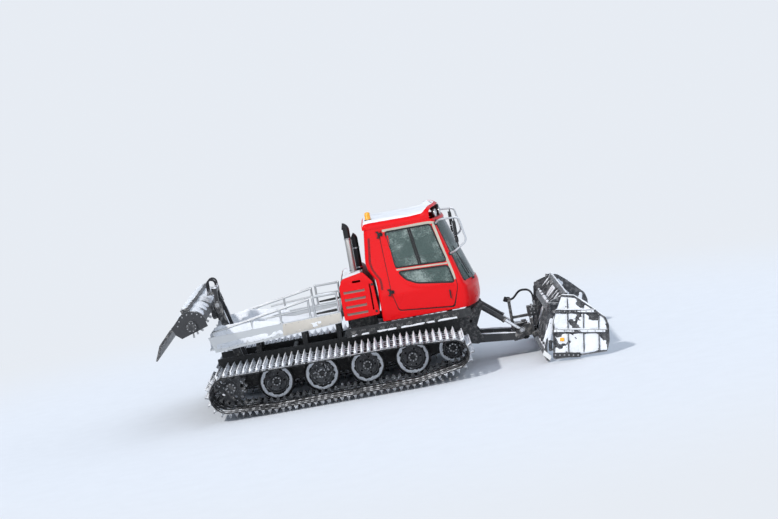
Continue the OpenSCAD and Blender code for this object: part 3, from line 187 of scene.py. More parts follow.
def smooth_path(corners: Sequence[Sequence[float]], n: int) -> Array:
    """A curve through points: a Catmull-Rom spline, evaluated as one array.

    Args:
        corners: (k, 3) points that the curve passes.
        n: number of points that come back.
    Returns:
        (n, 3) places, evenly spaced along the curve.
    """
    p = np.asarray(corners, float)
    p = np.concatenate([[2 * p[0] - p[1]], p, [2 * p[-1] - p[-2]]])
    t = np.linspace(0, len(p) - 3 - 1e-9, n * 6)
    i = t.astype(int)
    f = (t - i)[:, None]
    a, b, c, d = p[i], p[i + 1], p[i + 2], p[i + 3]
    q = 0.5 * (2 * b + (c - a) * f + (2 * a - 5 * b + 4 * c - d) * f ** 2 + (3 * b - a - 3 * c + d) * f ** 3)
    s = np.concatenate([[0], np.cumsum(np.linalg.norm(np.diff(q, axis=0), axis=1))])
    want = np.linspace(0, s[-1], n)
    return np.stack([np.interp(want, s, q[:, k]) for k in range(3)], -1)


def rod(a: Sequence[float], b: Sequence[float], radius: float, sides: int = 16, lip: float = 0.0) -> Shape:
    """A straight round bar between two points, its ends rounded off by lip."""
    a, b = np.asarray(a, float), np.asarray(b, float)
    d = unit(b - a)
    up = (0, 0, 1) if abs(d[2]) < 0.9 else (0, 1, 0)
    if lip <= 0:
        return sweep(np.stack([a, b]), circle(radius, sides), up)
    path = np.stack([a, a + d * lip * 0.3, a + d * lip, b - d * lip, b - d * lip * 0.3, b])
    end, near_end = radius - lip, radius - 0.3 * lip
    return sweep(path, circle(1.0, sides), up,
                 scale=np.array([end, near_end, radius, radius, near_end, end]))


def axis_frame(axis: Sequence[float]) -> tuple:
    """An axis as a unit vector, and two unit vectors across it that are square to each other."""
    w = unit(np.asarray(axis, float))
    e = unit(np.cross(w, (0.0, 0.0, 1.0) if abs(w[2]) < 0.9 else (1.0, 0.0, 0.0)))
    return w, e, np.cross(w, e)


def lathe(profile: Sequence[Sequence[float]], at: Sequence[float], axis: Sequence[float] = (0, 1, 0),
          n: int = 48, ripple: Optional[Array] = None) -> Shape:
    """A closed profile turned round an axis.

    Point (i, j) is at + axis * along j + radius j * (cos angle i, sin angle i) across the axis.

    Args:
        profile: (m, 2) rows of [radius, along], a closed ring.
        at: a point on the axis.
        axis: the axis.
        n: steps round the axis.
        ripple: (n, m) offsets on the radius, or None.
    Returns:
        The closed ring.
    """
    p = np.asarray(profile, float)
    axis, e, f = axis_frame(axis)
    a = np.linspace(0, 2 * np.pi, n, endpoint=False)[:, None, None]
    r = p[None, :, :1] + (0 if ripple is None else ripple[..., None])
    pts = np.asarray(at, float) + axis * p[None, :, 1:] + r * (np.cos(a) * e + np.sin(a) * f)
    return facing_out(grid(pts, wrap_u=True))


def drum(profile: Sequence[Sequence[float]], at: Sequence[float], axis: Sequence[float] = (0, 1, 0),
         n: int = 32) -> Shape:
    """An open profile from axis to axis, turned into a closed solid with a face at each end."""
    p = np.asarray(profile, float)
    axis, e, f = axis_frame(axis)
    path = np.asarray(at, float) + p[:, 1:] * axis
    a = np.linspace(0, 2 * np.pi, n, endpoint=False)[None, :, None]
    pts = path[:, None] + p[:, None, :1] * (np.cos(a) * e + np.sin(a) * f)
    return facing_out(grid(pts))


def box(lo: Sequence[float], hi: Sequence[float]) -> Shape:
    """A box from its lowest to its highest corner."""
    lo, hi = np.minimum(lo, hi), np.maximum(lo, hi)
    bits = np.array([[0, 0, 0], [1, 0, 0], [1, 1, 0], [0, 1, 0], [0, 0, 1], [1, 0, 1], [1, 1, 1], [0, 1, 1]])
    quads = np.array([[0, 3, 2, 1], [4, 5, 6, 7], [0, 1, 5, 4], [1, 2, 6, 5], [2, 3, 7, 6], [3, 0, 4, 7]])
    return Shape(lo + bits * (hi - lo), [quads])


def rounded(corners: Sequence[Sequence[float]], radius: float, n: int = 5) -> Array:
    """An outline with its corners rounded off.

    Each corner becomes a quadratic curve from radius before it to radius after it, with the
    corner as the middle control point.

    Args:
        corners: (k, 2) corners of a closed outline.
        radius: how far from a corner the curve starts, at most 0.45 of an edge.
        n: points on each corner's curve.
    Returns:
        (k * n, 2) points.
    """
    p = np.asarray(corners, float)
    before, after = np.roll(p, 1, 0) - p, np.roll(p, -1, 0) - p
    lb, la = np.linalg.norm(before, axis=1), np.linalg.norm(after, axis=1)
    rb, ra = np.minimum(radius, 0.45 * lb), np.minimum(radius, 0.45 * la)
    s = p + before / lb[:, None] * rb[:, None]
    e = p + after / la[:, None] * ra[:, None]
    t = np.linspace(0, 1, n)[None, :, None]
    return ((1 - t) ** 2 * s[:, None] + 2 * t * (1 - t) * p[:, None] + t ** 2 * e[:, None]).reshape(-1, 2)


def rect(x0: float, z0: float, x1: float, z1: float) -> Array:
    """The corners of an upright rectangle, from its lower rear corner round by its lower front one."""
    return np.array([[x0, z0], [x1, z0], [x1, z1], [x0, z1]])


def inset(outline: Array, distance: float) -> Array:
    """A closed outline moved inwards along its own normals by distance."""
    t = unit(np.roll(outline, -1, 0) - np.roll(outline, 1, 0))
    area = np.sum(outline[:, 0] * np.roll(outline[:, 1], -1) - np.roll(outline[:, 0], -1) * outline[:, 1])
    n = np.stack([-t[:, 1], t[:, 0]], -1) * np.sign(area)
    return outline + n * distance


def pillow(outline: Array, y0: float, y1: float, edge: float = 0.004, rings: int = 3,
           back: bool = False) -> Shape:
    """A plate from a side outline, with its front edge rounded.

    Ring k lies at depth y1 - edge * (1 - sin a) and inset edge * (1 - cos a), for a from 0 to 90
    degrees, and one face closes each end.

    Args:
        outline: (n, 2) closed [x, z] outline.
        y0: the back, in y.
        y1: the front, in y.
        edge: radius of the rounded edge.
        rings: steps of the rounding.
        back: rounds the back edge too.
    Returns:
        The closed plate.
    """
    way = math.copysign(1.0, y1 - y0)
    a = np.linspace(0, np.pi / 2, rings + 1)
    y = y1 - way * edge * (1 - np.sin(a))
    d = edge * (1 - np.cos(a))
    if back:
        y = np.concatenate([(y0 + way * edge * (1 - np.sin(a)))[::-1], y])
        d = np.concatenate([d[::-1], d])
    else:
        y, d = np.concatenate([[y0], y]), np.concatenate([[0.0], d])
    rows = np.stack([inset(outline, k) for k in d])
    return facing_out(grid(xyz(rows[..., 0], y[:, None], rows[..., 1])))


def copies(shape: Shape, at: Array, turn: Optional[Array] = None) -> Shape:
    """Copies of a shape, placed as whole arrays.

    Args:
        shape: the shape, at the origin.
        at: (k, 3) places.
        turn: (k, 3, 3) matrices whose columns are the copy's own axes, or None.
    Returns:
        One shape with k copies.
    """
    at = np.asarray(at, float).reshape(-1, 3)
    if turn is None:
        pts = at[:, None] + shape.points[None]
    else:
        pts = at[:, None] + np.einsum("kij,nj->kni", turn, shape.points)
    step = (np.arange(len(at)) * len(shape.points))[:, None, None]
    return Shape(pts.reshape(-1, 3), [(f[None] + step).reshape(-1, f.shape[1]) for f in shape.faces])


def toward(direction: Array) -> Array:
    """(k, 3, 3) frames whose third axis is each direction."""
    w = unit(np.asarray(direction, float).reshape(-1, 3))
    helper = np.where(np.abs(w[:, 2:]) < 0.9, [[0.0, 0.0, 1.0]], [[1.0, 0.0, 0.0]])
    u = unit(np.cross(helper, w))
    return np.stack([u, np.cross(w, u), w], -1)


def hex_head(radius: float, height: float) -> Shape:
    """A hexagon bolt head with its washer, standing on z = 0."""
    h = circle(radius, 6)
    w = circle(radius * 1.25, 6)
    washer = height * 0.25
    return stacked([(w, 0.0), (w, washer), (h, washer), (h, height * 0.9), (h * 0.86, height)])


def bolts(at: Sequence[Sequence[float]], direction: Sequence[float], radius: float = 0.012,
          height: float = 0.012) -> Shape:
    """Bolt heads at places, all pointing along a direction, sunk a little."""
    at = np.asarray(at, float).reshape(-1, 3)
    d = np.broadcast_to(np.asarray(direction, float), at.shape)
    return copies(hex_head(radius, height), at - unit(d) * 0.0015, toward(d))


def pin_cap(at: Sequence[float], axis: Sequence[float], radius: float, high: float) -> Shape:
    """The end of a pin: a low disc with a bevelled foot."""
    lip = 0.004
    return drum([[CORE, 0.0], [radius - lip, 0.0], [radius, lip], [radius, high], [CORE, high]], at, axis, 24)


def ring_of(centre: Sequence[float], axis: Sequence[float], radius: float, n: int) -> Array:
    """(n, 3) places evenly round an axis."""
    f = toward(np.asarray(axis, float))[0]
    a = np.linspace(0, 2 * np.pi, n, endpoint=False)
    return np.asarray(centre, float) + radius * (np.cos(a)[:, None] * f[:, 0] + np.sin(a)[:, None] * f[:, 1])


def wobble(p: Array, scale: float, seed: float = 0.0) -> Array:
    """Smooth noise from -1 to 1: a sum of three turned sine products, cheap and repeatable."""
    x, y, z = (p[..., k] * scale + seed * (1.7 + k) for k in range(3))
    a = np.sin(x + 1.3 * np.sin(y * 0.9)) * np.cos(y * 1.1 + 0.7 * z)
    b = np.sin(2.3 * y + 0.8 * x + 1.9) * np.cos(2.1 * z - 0.6 * x)
    c = np.sin(4.7 * x + 3.9 * z) * np.sin(4.1 * y + 2.7 * x)
    return (a + 0.6 * b + 0.35 * c) / 1.95


# ---------------------------------------------------------------- finishes


class Net:
    """A node tree with short calls."""

    def __init__(self, tree: bpy.types.NodeTree) -> None:
        """Args: tree: the tree that nodes are added to."""
        self.tree = tree

    def drive(self, socket: bpy.types.NodeSocket, value: object) -> None:
        """Feeds a socket: a link if the value is a socket too, and else its default value."""
        if isinstance(value, bpy.types.NodeSocket):
            self.tree.links.new(value, socket)
        else:
            socket.default_value = value

    def add(self, kind: str, inputs: Optional[dict] = None, **settings: object) -> bpy.types.Node:
        """Adds a node.

        Args:
            kind: the node's type, without its ShaderNode prefix.
            inputs: socket name or number to a value or a socket.
            settings: attributes of the node.
        Returns:
            The node.
        """
        node = self.tree.nodes.new("ShaderNode" + kind)
        for name, value in settings.items():
            setattr(node, name, value)
        for name, value in (inputs or {}).items():
            self.drive(node.inputs[name], value)
        return node

    def math(self, operation: str, a: object, b: object = 0.0, clamp: bool = False) -> bpy.types.NodeSocket:
        """One Math node's output."""
        return self.add("Math", {0: a, 1: b}, operation=operation, use_clamp=clamp).outputs[0]

    def ramp(self, value: object, lo: float, hi: float, out_lo: float = 0.0,
             out_hi: float = 1.0) -> bpy.types.NodeSocket:
        """A value stepped smoothly from lo..hi to out_lo..out_hi."""
        limits = {"From Min": lo, "From Max": hi, "To Min": out_lo, "To Max": out_hi}
        return self.add("MapRange", {"Value": value, **limits},
                        interpolation_type="SMOOTHSTEP").outputs["Result"]

    def mix(self, factor: object, a: object, b: object) -> bpy.types.NodeSocket:
        """Colour a and b mixed by a factor."""
        return self.add("Mix", {0: factor, 6: a, 7: b}, data_type="RGBA").outputs[2]

    def noise(self, vector: object, scale: object, detail: float = 4.0,
              rough: float = 0.55) -> bpy.types.NodeSocket:
        """Noise's value at a place."""
        return self.add("TexNoise", {"Vector": vector, "Scale": scale, "Detail": detail,
                                     "Roughness": rough}).outputs[0]


def rgba(colour: Sequence[float]) -> tuple:
    """A colour with a full alpha."""
    return (*colour[:3], 1.0)


def new_group(name: str, inputs: dict, outputs: dict) -> tuple:
    """A shader node group with named sockets.

    Args:
        name: the group's name.
        inputs: socket name to (socket type, default value).
        outputs: socket name to socket type.
    Returns:
        (group, net, input node, output node).
    """
    group = bpy.data.node_groups.new(name, "ShaderNodeTree")
    for key, (kind, value) in inputs.items():
        socket = group.interface.new_socket(key, in_out="INPUT", socket_type="NodeSocket" + kind)
        if value is not None:
            socket.default_value = value
    for key, kind in outputs.items():
        group.interface.new_socket(key, in_out="OUTPUT", socket_type="NodeSocket" + kind)
    return group, Net(group), group.nodes.new("NodeGroupInput"), group.nodes.new("NodeGroupOutput")


def grain_group() -> bpy.types.NodeTree:
    """Mottling and fine grain: a shade around 1 for the colour, and a height for the bump."""
    group, net, i, o = new_group("surface_grain", {
        "Vector": ("Vector", None), "Fine scale": ("Float", 220.0), "Mottle": ("Float", 0.12)},
        {"Shade": "Float", "Height": "Float", "Mottling": "Float"})
    broad = net.noise(i.outputs["Vector"], 2.3, 5.0, 0.6)
    fine = net.noise(i.outputs["Vector"], i.outputs["Fine scale"], 2.0, 0.5)
    swing = net.math("MULTIPLY", net.math("SUBTRACT", broad, 0.5), 2.0)
    net.drive(o.inputs["Shade"], net.math("ADD", net.math("MULTIPLY", swing, i.outputs["Mottle"]), 1.0))
    net.drive(o.inputs["Height"], fine)
    net.drive(o.inputs["Mottling"], broad)
    return group


def wear_group() -> bpy.types.NodeTree:
    """Where paint is chipped or rubbed: convex edges, broken up by noise, and sparse scratches."""
    group, net, i, o = new_group("edge_wear", {
        "Vector": ("Vector", None), "Amount": ("Float", 0.4), "Scale": ("Float", 16.0)}, {"Mask": "Float"})
    point = net.add("NewGeometry").outputs["Pointiness"]
    edge = net.ramp(point, 0.52, 0.60)
    patch = net.ramp(net.noise(i.outputs["Vector"], i.outputs["Scale"], 6.0, 0.7), 0.46, 0.62)
    chips = net.ramp(net.noise(i.outputs["Vector"], 41.0, 3.0, 0.6), 0.66, 0.72)
    both_ways = net.math("MAXIMUM", net.math("MULTIPLY", edge, patch), net.math("MULTIPLY", chips, 0.55))
    net.drive(o.inputs["Mask"], net.math("MULTIPLY", both_ways, i.outputs["Amount"], True))
    return group


def snow_group() -> bpy.types.NodeTree:
    """Wind-blown snow: it lies on what faces up, and sticks in specks elsewhere."""
    group, net, i, o = new_group("snow_dust", {
        "Vector": ("Vector", None), "Lying": ("Float", 0.5), "Specks": ("Float", 0.2)},
        {"Mask": "Float", "Height": "Float"})
    normal = net.add("SeparateXYZ", {0: net.add("NewGeometry").outputs["Normal"]}).outputs[2]
    broad = net.noise(i.outputs["Vector"], 3.1, 6.0, 0.62)
    fine = net.noise(i.outputs["Vector"], 24.0, 6.0, 0.7)
    level = net.math("ADD", net.math("MULTIPLY", normal, 0.62), net.math("MULTIPLY", broad, 0.9))
    start = net.math("SUBTRACT", 1.35, net.math("MULTIPLY", i.outputs["Lying"], 0.75))
    lying = net.ramp(net.math("SUBTRACT", level, start), 0.0, 0.12)
    gate = net.math("SUBTRACT", 0.80, net.math("MULTIPLY", i.outputs["Specks"], 0.42))
    both_noise = net.math("ADD", net.math("MULTIPLY", fine, 0.7), net.math("MULTIPLY", broad, 0.3))
    specks = net.ramp(net.math("SUBTRACT", both_noise, gate), 0.0, 0.05)
    mask = net.math("MAXIMUM", lying, specks, True)
    net.drive(o.inputs["Mask"], mask)
    net.drive(o.inputs["Height"], net.math("MULTIPLY", mask, fine))
    return group


def brushed_group() -> bpy.types.NodeTree:
    """Fine streaks along one axis, from noise that is stretched along it."""
    group, net, i, o = new_group("brushed", {
        "Vector": ("Vector", None), "Stretch": ("Vector", (1.0, 40.0, 40.0))}, {"Streak": "Float"})
    stretched = net.add("VectorMath", {0: i.outputs["Vector"], 1: i.outputs["Stretch"]}, operation="MULTIPLY")
    net.drive(o.inputs["Streak"], net.noise(stretched.outputs[0], 9.0, 3.0, 0.6))
    return group


GROUPS = {"grain": grain_group(), "wear": wear_group(), "snow": snow_group(), "brushed": brushed_group()}
SNOW_COLOUR = (0.86, 0.88, 0.92)


def new_material(name: str) -> tuple:
    """A new Principled material.

    Returns:
        (material, net, shader node, the surface's own place as a socket).
    """
    material = bpy.data.materials.new(name)
    material.use_nodes = True
    net = Net(material.node_tree)
    return material, net, net.tree.nodes["Principled BSDF"], net.add("TexCoord").outputs["Object"]


class Streak(Enum):
    """Which way a metal's fine lines run."""

    NONE = (1.0, 1.0, 1.0)
    ALONG_X = (1.0, 34.0, 34.0)
    ALONG_Y = (34.0, 1.0, 34.0)
    ALONG_Z = (34.0, 34.0, 1.0)


@dataclass(frozen=True)
class Finish:
    """One finish, and how its material is built from the shared effects."""

    name: str
    colour: tuple
    roughness: float = 0.5
    metallic: float = 0.0
    mottle: float = 0.12
    grain_scale: float = 220.0
    grain_depth: float = 0.0004
    wear: float = 0.0
    wear_colour: tuple = (0.35, 0.34, 0.33)
    snow: float = 0.0
    specks: float = 0.0
    specular: float = 0.5
    coat: float = 0.0
    streak: Streak = Streak.NONE
    slot: str = ""

    def make(self) -> bpy.types.Material:
        """The Blender material, built once.

        Returns:
            A Principled material whose colour, roughness and bump vary over the surface.
        """
        known = bpy.data.materials.get(self.name)
        if known:
            return known
        material, net, shader, place = new_material(self.name)
        material.diffuse_color = rgba(self.colour)
        grain = net.add("Group", {"Vector": place, "Fine scale": self.grain_scale, "Mottle": self.mottle},
                        node_tree=GROUPS["grain"])
        colour = net.add("Mix", {0: 1.0, 6: rgba(self.colour), 7: grain.outputs["Shade"]}, data_type="RGBA",
                         blend_type="MULTIPLY").outputs[2]
        rough = net.ramp(grain.outputs["Mottling"], 0.25, 0.75, max(self.roughness - 0.07, 0.04),
                         min(self.roughness + 0.09, 1.0))
        height = grain.outputs["Height"]
        if self.streak is not Streak.NONE:
            lines = net.add("Group", {"Vector": place, "Stretch": self.streak.value},
                            node_tree=GROUPS["brushed"]).outputs[0]
            swing = net.math("MULTIPLY", net.math("SUBTRACT", lines, 0.5), 0.25)
            rough = net.math("ADD", rough, swing)
            darker = rgba([c * 0.72 for c in self.colour])
            colour = net.mix(net.ramp(lines, 0.35, 0.75, 0.0, 0.35), colour, darker)
            height = net.math("ADD", height, lines)
        if self.wear > 0:
            worn = net.add("Group", {"Vector": place, "Amount": self.wear},
                           node_tree=GROUPS["wear"]).outputs["Mask"]
            colour = net.mix(worn, colour, rgba(self.wear_colour))
            height = net.math("SUBTRACT", height, worn)
        metal: object = self.metallic
        if self.snow > 0 or self.specks > 0:
            snow = net.add("Group", {"Vector": place, "Lying": self.snow, "Specks": self.specks},
                           node_tree=GROUPS["snow"])
            mask = snow.outputs["Mask"]
            colour = net.mix(mask, colour, rgba(SNOW_COLOUR))
            rough = net.math("MAXIMUM", rough, net.math("MULTIPLY", mask, 0.9))
            height = net.math("ADD", height, net.math("MULTIPLY", snow.outputs["Height"], 6.0))
            if self.metallic > 0:
                metal = net.math("MULTIPLY", net.math("SUBTRACT", 1.0, mask), self.metallic)
        bump = net.add("Bump", {"Strength": 0.6, "Distance": self.grain_depth, "Height": height})
        for name, value in (("Base Color", colour), ("Roughness", rough), ("Normal", bump.outputs[0]),
                            ("Metallic", metal), ("Specular IOR Level", self.specular),
                            ("Coat Weight", self.coat), ("Coat Roughness", 0.08)):
            net.drive(shader.inputs[name], value)
        return material


RED = Finish("red_lacquer", (0.74, 0.003, 0.006), 0.3, mottle=0.06, specular=0.15, coat=0.15, specks=0.08,
             snow=0.2, grain_depth=0.00015, slot="red_paint")
FRAME_BLACK = Finish("frame_black", (0.018, 0.019, 0.021), 0.42, mottle=0.3, wear=0.35, snow=0.35,
                     specks=0.32, grain_depth=0.0008, slot="frame_paint")
TOOL_BLACK = Finish("tool_black", (0.028, 0.029, 0.032), 0.4, mottle=0.3, wear=0.6, snow=0.5, specks=0.32,
                    grain_depth=0.001, slot="frame_paint")
BLADE_GREY = Finish("blade_grey", (0.045, 0.047, 0.052), 0.38, metallic=0.3, mottle=0.35, wear=0.8,
                    wear_colour=(0.42, 0.42, 0.43), snow=0.55, specks=0.34, grain_depth=0.001,
                    slot="blade_paint")
ENGINE_GREY = Finish("engine_grey", (0.16, 0.165, 0.17), 0.6, mottle=0.3, grain_depth=0.001,
                     slot="engine_paint")
RUBBER = Finish("tyre_rubber", (0.014, 0.014, 0.015), 0.72, mottle=0.25, grain_scale=340.0,
                grain_depth=0.0007, specks=0.22, snow=0.3, slot="tyre")
BELT = Finish("belt_rubber", (0.016, 0.016, 0.018), 0.78, mottle=0.3, grain_scale=300.0, grain_depth=0.0009,
              specks=0.36, snow=0.5, slot="track_bars")
BAR_ALLOY = Finish("bar_alloy", (0.30, 0.305, 0.315), 0.36, metallic=0.85, mottle=0.3, streak=Streak.ALONG_Y,
                   snow=0.85, specks=0.62, grain_depth=0.0007, slot="track_bars")
WHEEL_GREY = Finish("wheel_grey", (0.075, 0.077, 0.082), 0.45, metallic=0.35, mottle=0.25, wear=0.4,
                    specks=0.56, snow=0.35, grain_depth=0.0006, slot="wheel_paint")
STEEL = Finish("bright_steel", (0.46, 0.46, 0.47), 0.3, metallic=0.95, mottle=0.15, grain_depth=0.0003)
CHROME = Finish("rod_chrome", (0.72, 0.73, 0.75), 0.12, metallic=1.0, mottle=0.04, streak=Streak.ALONG_X,
                grain_depth=0.00008, slot="rod_chrome")
PIPE = Finish("exhaust_steel", (0.55, 0.54, 0.53), 0.2, metallic=1.0, mottle=0.3, streak=Streak.ALONG_Z,
              grain_depth=0.0003, slot="exhaust_steel")
# Dark steel: soot on the elbows, and on the far pipe painted shade with a painted reflection of the dark cab.
SOOT_AND_SHADE = Finish("sooty_and_shaded_steel", (0.022, 0.022, 0.024), 0.42, metallic=0.5, mottle=0.3, grain_depth=0.0008,
              slot="exhaust_steel")
ALLOY = Finish("bed_aluminium", (0.56, 0.565, 0.57), 0.34, metallic=0.9, mottle=0.12, streak=Streak.ALONG_X,
               snow=0.62, specks=0.34, grain_depth=0.0005, slot="bed_aluminium")
DUSTY = Finish("dusty_plate", (0.56, 0.53, 0.48), 0.66, mottle=0.22, snow=0.5, specks=0.42,
               grain_depth=0.0012, slot="bed_aluminium")
ICED = Finish("iced_frame", (0.50, 0.46, 0.38), 0.6, mottle=0.3, snow=0.35, specks=0.42, grain_depth=0.0012,
              slot="cab_trim")
TRIM = Finish("black_plastic", (0.014, 0.014, 0.015), 0.5, mottle=0.2, specks=0.12, grain_scale=420.0,
              grain_depth=0.0005, slot="cab_trim")
CONSOLE = Finish("console_plastic", (0.030, 0.031, 0.034), 0.55, mottle=0.15, grain_scale=420.0,
                 grain_depth=0.0006, slot="cab_trim")
SEAL = Finish("rubber_seal", (0.008, 0.008, 0.009), 0.6, mottle=0.15, grain_depth=0.0004, slot="cab_trim")
HOSE = Finish("hose_rubber", (0.016, 0.016, 0.018), 0.48, mottle=0.2, specks=0.12, grain_scale=420.0,
              grain_depth=0.0005, slot="hose_rubber")
SEAT = Finish("seat_cloth", (0.035, 0.036, 0.042), 0.85, mottle=0.25, grain_scale=620.0, grain_depth=0.0012,
              slot="seat_cloth")
WHITE = Finish("white_plastic", (0.75, 0.76, 0.76), 0.45, mottle=0.1, grain_depth=0.0004)
FROSTED = Finish("frosted_tube", (0.50, 0.52, 0.55), 0.5, metallic=0.2, mottle=0.3, snow=0.3, specks=0.5,
                 grain_depth=0.001, slot="cab_trim")
SNOW = Finish("packed_snow", (0.80, 0.83, 0.88), 0.85, mottle=0.22, grain_scale=42.0, grain_depth=0.014)
LENS = Finish("lamp_lens", (0.62, 0.66, 0.68), 0.08, metallic=0.4, mottle=0.1, coat=0.6, grain_scale=160.0,
              grain_depth=0.0008)
AMBER = Finish("beacon_amber", (0.90, 0.16, 0.012), 0.16, mottle=0.1, coat=0.4, grain_scale=90.0,
               grain_depth=0.0008, slot="beacon_amber")
ROTOR = Finish("rotor_steel", (0.20, 0.195, 0.19), 0.42, metallic=0.8, mottle=0.3, wear=0.5, snow=0.4,
               specks=0.4, grain_depth=0.0008, slot="rotor_steel")
MESH_TAN = Finish("dusty_mesh", (0.36, 0.33, 0.29), 0.6, metallic=0.3, mottle=0.25, specks=0.2,
                  grain_depth=0.001)


@dataclass(frozen=True)
class Glass:
    """Tinted window glass with pale, rougher, less clear patches."""

    name: str = "tinted_glass"
    tint: tuple = (0.035, 0.075, 0.065)
    pale_patch: tuple = (0.42, 0.50, 0.47)
    alpha: float = 0.72

    def make(self) -> bpy.types.Material:
        """The glass as a glossy, half clear sheet, paler, rougher and less clear where two noises meet."""
        material, net, shader, place = new_material(self.name)
        broad = net.noise(place, 2.6, 5.0, 0.6)
        fine = net.noise(place, 34.0, 6.0, 0.75)
        # Pale patches where two noises meet: lighter, rougher and less clear glass.
        pale_patch = net.ramp(net.math("ADD", net.math("MULTIPLY", broad, 0.75), net.math("MULTIPLY", fine, 0.35)),
                         0.50, 0.74, 0.0, 0.6)
        for name, value in (("Base Color", net.mix(pale_patch, rgba(self.tint), rgba(self.pale_patch))),
                            ("Roughness", net.ramp(pale_patch, 0.0, 0.6, 0.05, 0.4)),
                            ("Alpha", net.ramp(pale_patch, 0.0, 0.6, self.alpha, 0.93)),
                            ("IOR", 1.5), ("Coat Weight", 0.4), ("Coat Roughness", 0.03)):
            net.drive(shader.inputs[name], value)
        material.surface_render_method = "BLENDED"
        return material


# ---------------------------------------------------------------- pieces


def new_object(name: str, data: object) -> bpy.types.Object:
    """An object for its data, linked to the scene."""
    obj = bpy.data.objects.new(name, data)
    bpy.context.scene.collection.objects.link(obj)
    return obj


def new_mesh(name: str, shape: Shape) -> bpy.types.Mesh:
    """A Blender mesh from a shape."""
    mesh = bpy.data.meshes.new(name)
    mesh.from_pydata(shape.points.tolist(), [], [row for f in shape.faces for row in f.tolist()])
    return mesh


def piece(name: str, shape: Shape, finish: Finish, body: str, replaces: Sequence[str] = (),
          bevel: float = 0.0, angle: float = 34.0) -> bpy.types.Object:
    """Makes a piece of the machine from a shape.

    Args:
        name: the piece's name.
        shape: its mesh, in place.
        finish: its finish.
        body: the CAD body that it rides on.
        replaces: CAD nodes that it stands for.
        bevel: width of a live bevel on its sharp edges, or 0.
        angle: edges sharper than this many degrees stay sharp.
    Returns:
        The object.
    """
    mesh = new_mesh(name, shape)
    mesh.validate()
    mesh.materials.append(finish.make())
    mesh.shade_smooth()
    mesh.set_sharp_from_angle(angle=math.radians(angle))
    obj = new_object(name, mesh)
    if bevel > 0:
        m = obj.modifiers.new("edges", "BEVEL")
        m.width, m.segments, m.limit_method = bevel, 2, "ANGLE"
        m.angle_limit, m.harden_normals = math.radians(angle), True
    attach(obj, body)
    if replaces:
        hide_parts(*replaces)
    LOG.info("%s: %d points on %s", name, len(shape.points), body)
    return obj


def repaint(finish: object, *nodes: str) -> None:
    """Gives CAD nodes a finish.

    Args:
        finish: a Finish or a Glass.
        nodes: names of CAD nodes.
    """
    material = bpy.data.materials.get(finish.name) or finish.make()
    for name in nodes:
        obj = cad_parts[name]
        obj.data.materials.clear()
        obj.data.materials.append(material)
        getattr(finish, "slot", "")


def carve(solid: Shape, cuts: Sequence[Shape], keep: Optional[Shape] = None) -> Shape:
    """Cuts closed shapes out of a closed solid.

    Args:
        solid: the closed solid to start from.
        cuts: what is cut out of it.
        keep: if given, only what the solid shares with this shape is kept, before the cuts.
    Returns:
        The result as a shape with faces of any number of corners.
    """
    steps = [("DIFFERENCE", cut) for cut in cuts]
    if keep is not None:
        steps.insert(0, ("INTERSECT", keep))
    base = new_object("carve_base", new_mesh("carve_base", solid))
    tools = []
    for operation, shape in steps:
        tools.append(new_object("carve_tool", new_mesh("carve_tool", shape)))
        m = base.modifiers.new("cut", "BOOLEAN")
        m.operation, m.object, m.solver = operation, tools[-1], "EXACT"
    graph = bpy.context.evaluated_depsgraph_get()
    result = base.evaluated_get(graph).to_mesh()
    points = np.zeros(len(result.vertices) * 3)
    result.vertices.foreach_get("co", points)
    corners: dict = {}
    for polygon in result.polygons:
        corners.setdefault(len(polygon.vertices), []).append(list(polygon.vertices))
    base.to_mesh_clear()
    for obj in [base, *tools]:
        mesh = obj.data
        bpy.data.objects.remove(obj)
        bpy.data.meshes.remove(mesh)
    if not corners:
        raise ValueError("carve left nothing")
    return Shape(points.reshape(-1, 3), [np.array(rows) for rows in corners.values()])


def slab(outline: Array, y0: float, y1: float) -> Shape:
    """A side outline as thick as y0 to y1, with plain edges."""
    rows = np.stack([np.c_[outline[:, 0], np.full(len(outline), y), outline[:, 1]] for y in (y0, y1)])
    return facing_out(grid(rows))


def cross_slab(outline: Array, x0: float, x1: float) -> Shape:
    """A front outline of [y, z] as thick as x0 to x1, with plain edges."""
    rows = np.stack([np.c_[np.full(len(outline), x), outline] for x in (x0, x1)])
    return facing_out(grid(rows))


# ---------------------------------------------------------------- camera, light and floor


